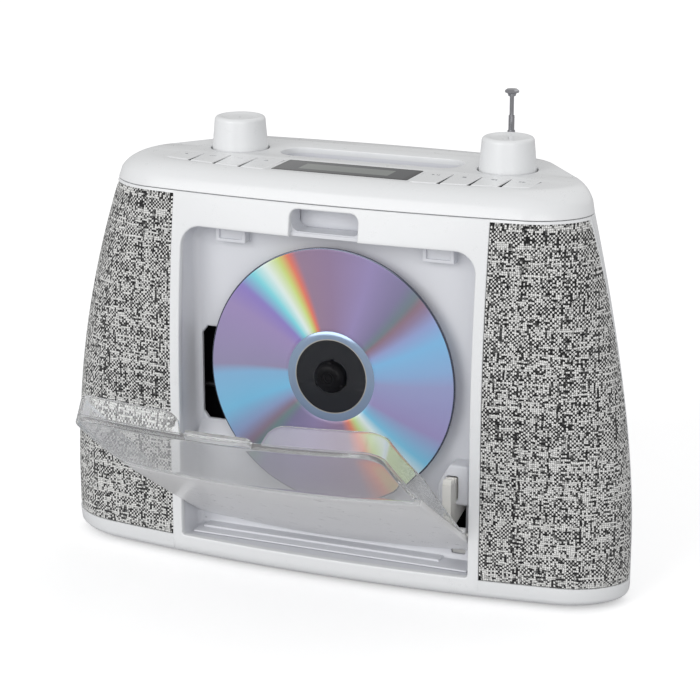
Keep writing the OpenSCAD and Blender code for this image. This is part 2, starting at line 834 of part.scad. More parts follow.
// --- Disc drive --------------------------------------------------------------------------------
module mech_chassis() {
    y1 = mech_y + mech_d;
    z0 = spindle_z - mech_low;
    z1 = spindle_z + mech_up;
    color(dark) difference() {
        union() {
            difference() {
                box(mech_x0, mech_x1, mech_y, y1 + plate_t, z0, z1);
                box(mech_x0 + 3, mech_x1 - 3, mech_y - 1, y1, z0 + 3, z1 - 3);
            }
            for (x = [mech_x0 + 7, mech_x1 - 7], z = [z0 + 7, z1 - 7]) rod_y(y1 + 1, board_y, x, z, 3);
        }
        for (s = [-1, 1])
            rod_x(mech_x0 - 1, mech_x1 + 1, rail_y, spindle_z + s * rail_dz, rail_r);
        rod_y(y1 - 1, y1 + 3, gear_x, gear_z, 1.4);
    }
}

module spindle_motor() {
    color(steel) difference() {
        rod_y(disc_rear + 2.6, mech_y + mech_d, 0, spindle_z, 12);
        rod_y(disc_rear, mech_y + mech_d - 1, 0, spindle_z, 1 + run_fit);
    }
}

module turntable() {
    hub_r = 7.4;
    color(dark) {
        rod_y(disc_rear, disc_rear + 2, 0, spindle_z, 16.5);
        rod_y(disc_front - 2, disc_rear + 1, 0, spindle_z, hub_r);
        translate([0, disc_front - 2, spindle_z]) rotate([90, 0, 0])
            cylinder(h = 2, r1 = hub_r, r2 = hub_r - 2, $fn = 48);
    }
    color(steel) {
        for (a = [90, 210, 330])
            translate([6.9 * cos(a), disc_front - 1.3, spindle_z + 6.9 * sin(a)])
                sphere(r = 1.2, $fn = 24);
        rod_y(disc_rear + 1, mech_y + mech_d - 2, 0, spindle_z, 1);
    }
}

module disc() {
    color([0.6, 0.62, 0.85]) difference() {
        rod_y(disc_front, disc_rear, 0, spindle_z, disc_r);
        rod_y(disc_front - 1, disc_rear + 1, 0, spindle_z, 7.5);
    }
}

module laser_sled() {
    color(dark) difference() {
        union() {
            box(sled_x[0], sled_x[1], sled_y[0], sled_y[1], spindle_z - sled_h, spindle_z + sled_h);
            rod_y(disc_rear + 1.9, sled_y[0] + 1, lens_x, spindle_z, 4);
            box(sled_x[0], sled_x[1] + 26, rack_y[0], rack_y[1],
                pitch_z + 1.1 * tooth_m, pitch_z + 1.1 * tooth_m + 2);
            translate([gear_x, rack_y[1], pitch_z]) rotate([90, 0, 0])
                linear_extrude(rack_y[1] - rack_y[0]) rack_teeth();
        }
        for (s = [-1, 1])
            rod_x(-far, far, rail_y, spindle_z + s * rail_dz, rail_r + run_fit);
        rod_y(disc_rear, disc_rear + 3, lens_x, spindle_z, 3);
    }
    color([0.3, 0.4, 0.6]) translate([lens_x, disc_rear + 3, spindle_z])
        rotate([-90, 0, 0]) cylinder(h = 0.5, r = 3, $fn = 32);
}

module rack_teeth() {
    p = PI * tooth_m;
    for (i = [ceil((sled_x[0] + 1 - gear_x) / p):floor((sled_x[1] + 25 - gear_x) / p)])
        translate([i * p, 0]) polygon([
            [-0.32 * p, 1.4 * tooth_m], [-0.32 * p, 1.1 * tooth_m], [-slim * p, 0],
            [-0.1 * p, -tooth_m], [0.1 * p, -tooth_m], [slim * p, 0],
            [0.32 * p, 1.1 * tooth_m], [0.32 * p, 1.4 * tooth_m]]);
}

module sled_rails() {
    color(steel) for (s = [-1, 1])
        rod_x(mech_x0, mech_x1, rail_y, spindle_z + s * rail_dz, rail_r);
}

module sled_motor() {
    y0 = mech_y + mech_d + plate_t;
    color(steel) difference() {
        rod_y(y0, y0 + 11, gear_x, gear_z, 9);
        rod_y(y0 - 1, y0 + 9, gear_x, gear_z, 1 + run_fit);
    }
}

module sled_gear() {
    color([0.85, 0.84, 0.8]) translate([gear_x, rack_y[1], gear_z]) rotate([90, 0, 0])
        linear_extrude(rack_y[1] - rack_y[0]) {
            circle(r = sled_r - 1.25 * tooth_m, $fn = 48);
            rotate(180 / sled_n + 90) toothed(sled_n, 0, 359, slim);
        }
    color(steel) rod_y(rack_y[0] + 1, mech_y + mech_d + 9, gear_x, gear_z, 1);
}

// --- Door --------------------------------------------------------------------------------------
// Turns a piece drawn on the closed door to where the open door holds it.
module opened() {
    translate([0, hinge_y, hinge_z]) rotate([door_open, 0, 0])
        translate([0, -hinge_y, -hinge_z]) children();
}

module door_panel() {
    color(white) opened() difference() {
        union() {
            intersection() {
                face_slab(door_z0, door_mid, 0, door_t);
                box(-door_x, door_x, -far, far, 0, far);
            }
            intersection() {
                face_slab(door_z0, door_mid, 1, 30);
                mirror_pair() union() {
                    rod_x(ear_x[0], ear_x[1], hinge_y, hinge_z, pin_out);
                    box(ear_x[0], ear_x[1], front_y0, hinge_y,
                        hinge_z - pin_out, hinge_z + pin_out);
                }
            }
        }
        mirror_pair() rod_x(ear_x[0] - 0.5, door_x + 1, hinge_y, hinge_z, hinge_r);
    }
}

module window_outline(d) {
    round_rect(-door_x + d, door_x - d, door_mid - 20, door_z1 - d, open_r - door_gap - d);
}

module door_window() {
    color([0.75, 0.78, 0.8, 0.4]) opened() union() {
        intersection() {
            face_slab(door_mid, door_z1 + 1, 0, door_t);
            translate([0, far / 2, 0]) rotate([90, 0, 0]) linear_extrude(far) window_outline(0);
        }
        intersection() {
            face_slab(door_mid, door_z1 + 1, door_t - 0.5, door_t + rim_d);
            translate([0, far / 2, 0]) rotate([90, 0, 0]) linear_extrude(far) difference() {
                window_outline(0);
                window_outline(2);
                translate([-tab_x - 4, door_z1 - 9]) square([2 * tab_x + 8, 20]);
            }
        }
        intersection() {
            face_slab(door_z1 - 1, door_z1 + tab_h, 0.4, door_t);
            box(-tab_x, tab_x, -far, far, 0, far);
        }
    }
}

module door_pins() {
    color(steel) mirror_pair()
        rod_x(ear_x[0] - 0.5, pin_x1 - 0.5, hinge_y, hinge_z, hinge_r);
}

module door_sector() {
    a0 = pinion_dir - door_open - 10.2;
    a1 = pinion_dir + 8.5;
    reach = 40;
    color(white) opened() intersection() {
        face_slab(hinge_z - 26, hinge_z + 30, door_t, 40);
        union() {
            translate([sector_x[0], hinge_y, hinge_z]) rotate([90, 0, 90])
                linear_extrude(sector_x[1] - sector_x[0]) {
                    intersection() {
                        circle(r = sector_r - 1.25 * tooth_m, $fn = 96);
                        polygon([[0, 0], [reach * cos(a0), reach * sin(a0)],
                            [reach, -5], [reach * cos(a1), reach * sin(a1)]]);
                    }
                    toothed(sector_n, a0, a1, slim);
                    circle(r = 4.5, $fn = 48);
                }
            box(sector_x[0] - 3, sector_x[1] + 3, front_y0, hinge_y + 2, hinge_z - 9, hinge_z + 9);
        }
    }
}

module damper_body() {
    color(dark) difference() {
        union() {
            rod_x(sector_x[1] + 2.5, open_x, pinion_y, pinion_z, damper_r);
            box(sector_x[1] + 2.5, sector_x[1] + 4.5, mech_y, pinion_y, pinion_z - 6, pinion_z + 6);
        }
        rod_x(sector_x[1] + 1, open_x + 1, pinion_y, pinion_z, 1.5 + run_fit);
    }
}

module damper_pinion() {
    step = 360 / sector_n;
    lead = round((pinion_dir - door_open) / step) * step + door_open - pinion_dir;
    color([0.85, 0.84, 0.8]) {
        translate([sector_x[0] + 0.5, pinion_y, pinion_z]) rotate([90, 0, 90])
            linear_extrude(sector_x[1] - sector_x[0] - 1) {
                circle(r = pinion_r - 1.25 * tooth_m, $fn = 48);
                rotate(pinion_dir + 180 - lead * sector_n / pinion_n + 180 / pinion_n)
                    toothed(pinion_n, 0, 359, slim);
            }
        rod_x(sector_x[0] + 0.5, open_x - 0.5, pinion_y, pinion_z, 1.5);
    }
}

front_shell();
rear_shell();
top_cap();
handle_liner();
mirror([1, 0, 0]) grille_panel();  // grille_panel_left
grille_panel();  // grille_panel_right
mirror([1, 0, 0]) grille_cloth();  // grille_cloth_left
grille_cloth();  // grille_cloth_right
cd_well();
lcd_window();
lcd_panel();
control_board();
tact_switches();
mirror([1, 0, 0]) key_cap(3);  // key_left_1
mirror([1, 0, 0]) key_cap(2);  // key_left_2
mirror([1, 0, 0]) key_cap(1);  // key_left_3
mirror([1, 0, 0]) key_cap(0);  // key_left_4
key_cap(0);  // key_right_1
key_cap(1);  // key_right_2
key_cap(2);  // key_right_3
key_cap(3);  // key_right_4
mirror([1, 0, 0]) knob();  // volume_knob
mirror([1, 0, 0]) knob_shaft();  // volume_shaft
mirror([1, 0, 0]) encoder();  // volume_encoder
knob();  // tuning_knob
knob_shaft();  // tuning_shaft
encoder();  // tuning_encoder
aerial_piece(0);  // aerial_tube
aerial_piece(1);  // aerial_section_1
aerial_piece(2);  // aerial_section_2
aerial_piece(3);  // aerial_section_3
aerial_piece(4);  // aerial_section_4
aerial_rod();
speaker_baskets();
speaker_cones();
speaker_magnets();
main_board();
transformer();
mains_inlet();
audio_socket();
battery_box();
battery_contacts();
battery_cover();
rubber_feet();
case_screws();
mech_chassis();
spindle_motor();
turntable();
disc();
laser_sled();
sled_rails();
sled_motor();
sled_gear();
door_panel();
door_window();
door_pins();
door_sector();
damper_body();
damper_pinion();
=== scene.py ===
import json
import math
import bpy
import bmesh
import numpy as np
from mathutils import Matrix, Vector
from mathutils.geometry import tessellate_polygon


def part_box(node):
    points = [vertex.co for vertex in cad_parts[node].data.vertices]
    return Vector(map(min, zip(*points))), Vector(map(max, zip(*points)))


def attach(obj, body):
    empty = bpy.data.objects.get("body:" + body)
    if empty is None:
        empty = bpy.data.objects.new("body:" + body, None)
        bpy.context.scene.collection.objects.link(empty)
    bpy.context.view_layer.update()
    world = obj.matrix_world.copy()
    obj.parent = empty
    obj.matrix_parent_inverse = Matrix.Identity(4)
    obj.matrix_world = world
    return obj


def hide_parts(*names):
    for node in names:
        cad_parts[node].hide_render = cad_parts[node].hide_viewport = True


bl_info = {
    "name": "Portable disc player",
    "version": (1, 0, 0),
    "blender": (4, 5, 0),
    "location": "3D View > Sidebar > Player",
    "description": "Builds the finished surfaces of a portable disc player around its mechanical frame",
    "category": "Add Mesh",
}

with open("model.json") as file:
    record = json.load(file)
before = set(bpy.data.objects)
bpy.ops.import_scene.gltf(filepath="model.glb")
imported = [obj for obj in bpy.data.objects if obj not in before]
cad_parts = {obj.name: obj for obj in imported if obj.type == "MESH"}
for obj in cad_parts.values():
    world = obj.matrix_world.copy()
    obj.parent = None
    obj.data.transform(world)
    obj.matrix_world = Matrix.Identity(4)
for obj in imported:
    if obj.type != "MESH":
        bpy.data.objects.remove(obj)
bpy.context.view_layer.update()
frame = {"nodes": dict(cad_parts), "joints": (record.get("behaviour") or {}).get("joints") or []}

# Lengths in this file are millimetres; mesh_object() turns them into metres.
MM = 0.001


def node_box(name):
    """Lowest and highest corner of a frame node, in millimetres."""
    low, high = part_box(name)
    return np.array(low) / MM, np.array(high) / MM


HOUSING = node_box("front_shell")
CAP = node_box("top_cap")
REAR = node_box("rear_shell")
DISC = node_box("disc")
PINS = node_box("door_pins")
LCD = node_box("lcd_window")
KNOB = node_box("tuning_knob")
PLATTER = node_box("turntable")
CLOTH = node_box("grille_cloth_right")

FRONT_Y = -REAR[1][1]
BACK_Y = REAR[1][1]
FOOT = HOUSING[0][2]
SEAM_Z = CAP[0][2]
DECK_Z = CAP[1][2]
CAP_H = DECK_Z - SEAM_Z
SEAM_Y = REAR[0][1]
DOOR_OPEN = next(j for j in frame["joints"] if j["name"] == "door_hinge")["range_deg"][1]
HINGE = np.array([0, (PINS[0][1] + PINS[1][1]) / 2, (PINS[0][2] + PINS[1][2]) / 2])
DISC_MID = (DISC[0] + DISC[1]) / 2
DISC_R = (DISC[1][2] - DISC[0][2]) / 2


# --- Sizes that a user may change ----------------------------------------------------------------
def length(name, description, default):
    """A length property, shown in the unit of the scene."""
    return bpy.props.FloatProperty(
        name=name, description=description, default=default * MM, subtype="DISTANCE", unit="LENGTH")


def tint(name, description, default):
    """A colour property with linear components."""
    return bpy.props.FloatVectorProperty(
        name=name, description=description, default=default, size=3, min=0, max=1, subtype="COLOR")


class PlayerShape(bpy.types.PropertyGroup):
    """Sizes of the housing's form."""
    bow: length("Bow radius", "Radius of the bow of the front in plan", 770)
    lean: length("Lean", "How far the front leans back at the seam", 8)
    lean_from: length("Lean height", "Height where the front starts to lean", 80)
    taper_from: length("Taper height", "Height where the ends start to taper", 30)
    front_corner: length("Front corners", "Radius of the front corners in plan", 25)
    rear_corner: length("Rear corners", "Radius of the rear corners in plan", 20)
    base_round: length("Base rounding", "Rounding of the bottom edge", 6.5)
    shoulder: length("Shoulder", "Width of the shoulder around the deck", 13.5)
    wall: length("Wall", "Wall of the shells", 3.2)
    slant: bpy.props.FloatProperty(
        name="End slant", description="Slant of the ends in plan", default=math.radians(34),
        subtype="ANGLE", unit="ROTATION")
    edge: length("Edge radius", "Rounding of moulded edges", 0.7)
    opening_corner: length("Opening corners", "Radius of the door opening's top corners", 10)
    thread: length("Thread", "Pitch of the grille cloth's threads", 0.9)


class PlayerFinish(bpy.types.PropertyGroup):
    """Colours of the main finishes."""
    gloss_white: tint("Housing", "Colour of the housing's satin white plastic", (0.78, 0.79, 0.80))
    # The well's colour is the housing's white made darker and bluer: painted shade on the recessed well,
    # finger pocket and handle liner
    recess_shade_white: tint("Well", "Colour of the disc well's plastic", (0.70, 0.71, 0.745))
    black: tint("Black parts", "Colour of the black plastic", (0.005, 0.005, 0.006))
    yarn_dark: tint("Dark yarn", "Darkest yarn of the cloth", (0.008, 0.008, 0.009))
    yarn_light: tint("Light yarn", "Lightest yarn of the cloth", (0.90, 0.90, 0.88))
    clear: tint("Door window", "Tint of the clear plastic", (0.985, 0.99, 0.992))


def shape():
    return bpy.context.scene.player_shape


def finish():
    return bpy.context.scene.player_finish


# --- Mesh making ---------------------------------------------------------------------------------
def quads(m, n, wrap_m=False, wrap_n=False):
    """Faces of an m by n grid of points, row by row, wrapped round where asked."""
    i = np.arange(m if wrap_m else m - 1)
    j = np.arange(n if wrap_n else n - 1)
    i, j = np.meshgrid(i, j, indexing="ij")
    k, l = (i + 1) % m, (j + 1) % n
    return np.stack([i * n + j, i * n + l, k * n + l, k * n + j], -1).reshape(-1, 4)


def tube(rings, wrap=False):
    """Closed skin through rings of shape (m, n, 3): each ring is closed, and the ends get a fan each
    or, when wrap is set, the last ring joins the first."""
    m, n = rings.shape[:2]
    points = rings.reshape(-1, 3)
    faces = quads(m, n, wrap, True).tolist()
    if not wrap:
        for row, flip in ((0, True), (m - 1, False)):
            middle = rings[row].mean(0)
            hub = len(points)
            points = np.vstack([points, middle])
            ring = row * n + np.arange(n)
            after = np.roll(ring, -1)
            fan = np.stack([np.full(n, hub), ring, after], -1)
            faces += (fan[:, ::-1] if flip else fan).tolist()
    return points, faces


def slab(outer, inner, keep=None):
    """Closed sheet between two grids of the same shape (m, n, 3). Cells that keep leaves out are
    holes, and every border of the kept cells gets a wall from one grid to the other."""
    m, n = outer.shape[:2]
    points = np.vstack([outer.reshape(-1, 3), inner.reshape(-1, 3)])
    if keep is None:
        keep = np.ones((m - 1, n - 1), bool)
    cells = quads(m, n)[keep.ravel()]
    faces = [cells, cells[:, ::-1] + m * n]
    edges = np.concatenate([cells[:, [k, (k + 1) % 4]] for k in range(4)])
    key = edges[:, 0] * (m * n) + edges[:, 1]
    twin = edges[:, 1] * (m * n) + edges[:, 0]
    rim = edges[~np.isin(key, twin)]
    faces.append(np.stack([rim[:, 1], rim[:, 0], rim[:, 0] + m * n, rim[:, 1] + m * n], -1))
    return points, np.concatenate(faces).tolist()


def lathe(profile, steps=96):
    """Rings of a profile of (radius, height) points turned about the Z axis."""
    turn = np.linspace(0, 2 * np.pi, steps, endpoint=False)
    profile = np.array(profile, float)
    r, h = profile[:, :1], profile[:, 1:]
    return np.stack([r * np.cos(turn), r * np.sin(turn), np.broadcast_to(h, (len(profile), steps))], -1)


def arc(cx, cy, r, a0, a1, n=8):
    """Points along a circle's arc between two angles in degrees."""
    a = np.radians(np.linspace(a0, a1, n))
    return np.stack([cx + r * np.cos(a), cy + r * np.sin(a)], -1)


def side_way(loop):
    """Unit normals of a closed flat loop, to the right of its direction, averaged at each point."""
    step = np.roll(loop, -1, 0) - loop
    step /= np.maximum(np.linalg.norm(step, axis=1, keepdims=True), 1e-9)
    way = step + np.roll(step, 1, 0)
    way /= np.maximum(np.linalg.norm(way, axis=1, keepdims=True), 1e-9)
    cosine = np.clip((way * step).sum(1, keepdims=True), 0.5, 1)
    return np.stack([way[:, 1], -way[:, 0]], -1) / cosine


def rounded_rect(x0, x1, y0, y1, r, n=8):
    """Counter-clockwise rectangle with rounded corners; r is one radius or one for each corner,
    from the low-x low-y corner on."""
    r = [r] * 4 if np.isscalar(r) else r
    return np.vstack([
        arc(x0 + r[0], y0 + r[0], r[0], 180, 270, n), arc(x1 - r[1], y0 + r[1], r[1], 270, 360, n),
        arc(x1 - r[2], y1 - r[2], r[2], 0, 90, n), arc(x0 + r[3], y1 - r[3], r[3], 90, 180, n)])


def dense(loop, step):
    """The same closed loop with points added so that no gap is wider than step."""
    out = []
    for a, b in zip(loop, np.roll(loop, -1, 0)):
        count = max(1, int(np.ceil(np.linalg.norm(b - a) / step)))
        out.append(a + (b - a) * np.arange(count)[:, None] / count)
    return np.vstack(out)


def join(*parts):
    """One set of points and faces out of several."""
    points, faces, count = [], [], 0
    for p, f in parts:
        points.append(np.asarray(p, float).reshape(-1, 3))
        faces += [[k + count for k in face] for face in f]
        count += len(points[-1])
    return np.vstack(points), faces


def mirrored(part):
    points = np.array(part[0], float)
    points[:, 0] *= -1
    return points, [list(f)[::-1] for f in part[1]]


def mesh_object(name, part, finishes, body, hides=(), sharp=32, uv=None, pick=None, weld=True):
    """A mesh object from points in millimetres, merged, facing outwards and riding on a body. pick
    gives each face's finish by number, from an array of face middles; uv holds each point's UV."""
    points, faces = part
    mesh = bpy.data.meshes.new(name)
    mesh.from_pydata((np.asarray(points, float) * MM).tolist(), [], faces)
    work = bmesh.new()
    work.from_mesh(mesh)
    if weld:
        bmesh.ops.remove_doubles(work, verts=work.verts, dist=2e-6)
        bmesh.ops.dissolve_degenerate(work, edges=work.edges, dist=1e-7)
    bmesh.ops.recalc_face_normals(work, faces=work.faces)
    work.to_mesh(mesh)
    work.free()
    for material in finishes if isinstance(finishes, (list, tuple)) else [finishes]:
        mesh.materials.append(material)
    if pick is not None:
        middles = np.empty(len(mesh.polygons) * 3, np.float32)
        mesh.polygons.foreach_get("center", middles)
        mesh.polygons.foreach_set("material_index", pick(middles.reshape(-1, 3) / MM).astype(np.int32))
    if uv is not None:
        corners = np.empty(len(mesh.loops), np.int32)
        mesh.loops.foreach_get("vertex_index", corners)
        layer = mesh.uv_layers.new(name="UVMap")
        layer.data.foreach_set("uv", np.asarray(uv)[corners].astype(np.float32).ravel())
    mesh.shade_smooth()
    mesh.set_sharp_from_angle(angle=math.radians(sharp))
    piece = bpy.data.objects.new(name, mesh)
    bpy.context.scene.collection.objects.link(piece)
    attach(piece, body)
    if hides:
        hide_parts(*([hides] if isinstance(hides, str) else hides))
    return piece


# --- The housing's form --------------------------------------------------------------------------
class Form:
    """Outline of the housing at each height: a flat-fronted shape with rounded corners and slanted
    ends, bowed by a parabola at the front and back, that leans, tapers and rounds with height."""

    def __init__(self):
        s = shape()
        self.bow = s.bow / MM
        self.lean = s.lean / MM
        self.lean_from = s.lean_from / MM
        self.taper_from = s.taper_from / MM
        self.r1 = s.front_corner / MM
        self.r2 = s.rear_corner / MM
        self.base = s.base_round / MM
        self.shoulder = s.shoulder / MM
        self.slant = s.slant
        self.base_w = HOUSING[1][0]
        self.seam_w = CAP[1][0]

    def base_in(self, z):
        drop = np.clip(FOOT + self.base - z, 0, self.base)
        return self.base - np.sqrt(self.base ** 2 - drop ** 2)

    def cap_in(self, z):
        rise = np.clip((z - SEAM_Z) / CAP_H, 0, 1)
        return self.shoulder * (1 - np.sqrt(1 - rise ** 2))

    def front(self, z, d=0):
        """Depth of the front's middle at height z."""
        up = np.clip((z - self.lean_from) / (SEAM_Z - self.lean_from), 0, 1)
        return FRONT_Y + self.lean * up ** 2 + self.cap_in(z) + self.base_in(z) + d

    def face(self, x, z, d=0):
        """Depth of the front at any x and z."""
        return self.front(z, d) + np.asarray(x) ** 2 / (2 * self.bow)

    def back(self, z, d=0):
        return BACK_Y - 0.35 * self.cap_in(z) - self.base_in(z) - d

    def half(self, z):
        up = np.clip((z - self.taper_from) / (SEAM_Z - self.taper_from), 0, 1)
        return self.base_w - (self.base_w - self.seam_w) * up ** 1.8

    def right(self, z, d=0, fine=1):
        """Right half of the outline from the front's middle to the back's, one row for each z."""
        z = np.atleast_1d(np.asarray(z, float))[:, None]
        d = np.atleast_1d(np.asarray(d, float))
        d = d[:, None] if d.size > 1 else d
        ya, yb = self.front(z, d), self.back(z, d)
        w = self.half(z) - 0.9 * self.cap_in(z) - self.base_in(z) - d
        r1, r2 = np.maximum(self.r1 - d, 1), np.maximum(self.r2 - d, 1)
        turn = np.pi / 2 + self.slant
        l1, l2 = r1 * np.tan(turn / 2), r2 * np.tan((np.pi - turn) / 2)
        xb = w + l1 - r1
        xc = xb - (yb - ya) * np.tan(self.slant)
        t = np.linspace(0, 1, 24 * fine, endpoint=False)[None]
        a = np.linspace(0, turn, 30 * fine)[None]
        b = np.linspace(turn, np.pi, 14 * fine)[None]
        x = np.hstack([(xb - l1) * t, xb - l1 + r1 * np.sin(a), xc - l2 + r2 * np.sin(b),
                       (xc - l2) * (1 - np.linspace(0, 1, 14 * fine)[None][:, 1:])])
        y = np.hstack([ya + 0 * t, ya + r1 * (1 - np.cos(a)), yb - r2 * (1 + np.cos(b)),
                       yb + 0 * np.linspace(0, 1, 14 * fine)[None][:, 1:]])
        y = y + x ** 2 / (2 * self.bow) * (1 - 2 * (y - ya) / (yb - ya))
        return x, y, np.broadcast_to(z, x.shape)

    def loop(self, z, d=0, fine=1):
        """The whole outline as rings of shape (rows, points, 3)."""
        right = np.stack(self.right(z, d, fine), -1)
        left = right[:, -2:0:-1] * [-1, 1, 1]
        return np.concatenate([right, left], 1)

    def strip(self, z, start, stop, count, d=0):
        """A grid on the right side between two stations. A station is ("x", value) on the front,
        ("y", value) anywhere before the back, or ("back", value of x) on the back."""
        x, y, zz = self.right(z, d, 3)
        n = x.shape[1]
        index = np.arange(n, dtype=float)
        rows = []
        for k in range(len(x)):
            ends = []
            for kind, value in (start, stop):
                if kind == "x":
                    h = int(np.argmax(x[k]))
                    ends.append(np.interp(value, x[k][:h], index[:h]))
                elif kind == "y":
                    ends.append(np.interp(value, y[k], index))
                else:
                    h = int(np.argmax(x[k]))
                    ends.append(np.interp(-value, -x[k][h:], index[h:]))
            at = np.linspace(ends[0], ends[1], count) if np.isscalar(count) else \
                ends[0] + (ends[1] - ends[0]) * count
            rows.append(np.stack([np.interp(at, index, x[k]), np.interp(at, index, y[k]),
                                  np.full(len(at), zz[k][0])], -1))
        return np.array(rows)


_form = []


def form():
    if not _form:
        _form.append(Form())
    return _form[0]


# --- Materials -----------------------------------------------------------------------------------
class Net:
    """Short ways to place and join nodes in a material or a group."""

    def __init__(self, tree):
        self.tree = tree

    def add(self, kind, **settings):
        node = self.tree.nodes.new(kind)
        for name, value in settings.items():
            setattr(node, name, value)
        return node

    def put(self, socket, value):
        if isinstance(value, bpy.types.NodeSocket):
            self.tree.links.new(value, socket)
        elif value is not None:
            socket.default_value = value

    def math(self, operation, *values):
        node = self.add("ShaderNodeMath", operation=operation)
        for socket, value in zip(node.inputs, values):
            self.put(socket, value)
        return node.outputs[0]

    def times(self, a, b):
        return self.math("MULTIPLY", a, b)

    def plus(self, a, b):
        return self.math("ADD", a, b)

    def minus(self, a, b):
        return self.math("SUBTRACT", a, b)

    def fit(self, value, by, add):
        return self.math("MULTIPLY_ADD", value, by, add)

    def mix(self, factor, a, b, blend="MIX"):
        node = self.add("ShaderNodeMix", data_type="RGBA", blend_type=blend)
        for socket, value in ((node.inputs[0], factor), (node.inputs[6], a), (node.inputs[7], b)):
            single = isinstance(value, (bpy.types.NodeSocket, int, float))
            self.put(socket, value if single else (*value, 1)[:4])
        return node.outputs[2]

    def ramp(self, value, stops, way="LINEAR"):
        node = self.add("ShaderNodeValToRGB")
        node.color_ramp.interpolation = way
        while len(node.color_ramp.elements) < len(stops):
            node.color_ramp.elements.new(0.5)
        for element, (place, colour) in zip(node.color_ramp.elements, stops):
            element.position = place
            element.color = (*([colour] * 3 if np.isscalar(colour) else colour), 1)[:4]
        self.put(node.inputs[0], value)
        return node.outputs[0]

    def noise(self, vector, scale, detail=2.0, rough=0.5, dims="3D"):
        node = self.add("ShaderNodeTexNoise", noise_dimensions=dims)
        self.put(node.inputs["Vector"], vector)
        for name, value in (("Scale", scale), ("Detail", detail), ("Roughness", rough)):
            self.put(node.inputs[name], value)
        return node.outputs["Fac"]

    def chance(self, vector, dims="2D"):
        node = self.add("ShaderNodeTexWhiteNoise", noise_dimensions=dims)
        self.put(node.inputs["Vector"], vector)
        return node.outputs["Value"]

    def combine(self, x, y, z=0.0):
        node = self.add("ShaderNodeCombineXYZ")
        for socket, value in zip(node.inputs, (x, y, z)):
            self.put(socket, value)
        return node.outputs[0]

    def split(self, vector):
        node = self.add("ShaderNodeSeparateXYZ")
        self.put(node.inputs[0], vector)
        return node.outputs

    def place(self, centre=(0, 0, 0), turn=(0, 0, 0), scale=(1, 1, 1)):
        """Object coordinates, centred on a point in millimetres."""
        node = self.add("ShaderNodeMapping", vector_type="TEXTURE")
        self.put(node.inputs["Vector"], self.add("ShaderNodeTexCoord").outputs["Object"])
        node.inputs["Location"].default_value = [c * MM for c in centre]
        node.inputs["Rotation"].default_value = turn
        node.inputs["Scale"].default_value = scale
        return node.outputs[0]

    def group(self, tree, **values):
        node = self.add("ShaderNodeGroup", node_tree=tree)
        for name, value in values.items():
            self.put(node.inputs[name.replace("_", " ")], value)
        return node

    def bump(self, height, strength, distance=0.0005):
        node = self.add("ShaderNodeBump")
        node.inputs["Strength"].default_value = strength
        node.inputs["Distance"].default_value = distance
        self.put(node.inputs["Height"], height)
        return node.outputs[0]


def new_group(name, inputs, outputs):
    """An empty node group with named sockets, and its inner net, inputs and outputs."""
    tree = bpy.data.node_groups.new(name, "ShaderNodeTree")
    for label, kind, value in inputs:
        socket = tree.interface.new_socket(label, in_out="INPUT", socket_type=kind)
        if value is not None:
            socket.default_value = value
    for label, kind in outputs:
        tree.interface.new_socket(label, in_out="OUTPUT", socket_type=kind)
    net = Net(tree)
    return tree, net, net.add("NodeGroupInput").outputs, net.add("NodeGroupOutput").inputs


def moulding_group():
    """Moulded plastic: a fine spark grain, soft flow marks in the gloss and a faint change of tone."""
    if "Moulded plastic" in bpy.data.node_groups:
        return bpy.data.node_groups["Moulded plastic"]
    tree, net, get, give = new_group(
        "Moulded plastic",
        [("Vector", "NodeSocketVector", None), ("Color", "NodeSocketColor", (0.8, 0.8, 0.8, 1)),
         ("Grain", "NodeSocketFloat", 2600.0), ("Gloss", "NodeSocketFloat", 0.35),
         ("Tone", "NodeSocketFloat", 0.03)],
        [("Color", "NodeSocketColor"), ("Roughness", "NodeSocketFloat"), ("Height", "NodeSocketFloat")])
    broad = net.noise(get["Vector"], 22.0, 3.0)
    fine = net.noise(get["Vector"], get["Grain"], 2.0, 0.6)
    smear = net.noise(get["Vector"], 160.0, 4.0, 0.65)
    shade = net.fit(net.minus(broad, 0.5), get["Tone"], 1.0)
    tone = net.add("ShaderNodeVectorMath", operation="SCALE")
    net.put(tone.inputs[0], get["Color"])
    net.put(tone.inputs["Scale"], shade)
    net.put(give["Color"], tone.outputs[0])
    rough = net.fit(net.minus(smear, 0.5), 0.14, get["Gloss"])
    net.put(give["Roughness"], net.fit(net.minus(fine, 0.5), 0.1, rough))
    net.put(give["Height"], fine)
    return tree


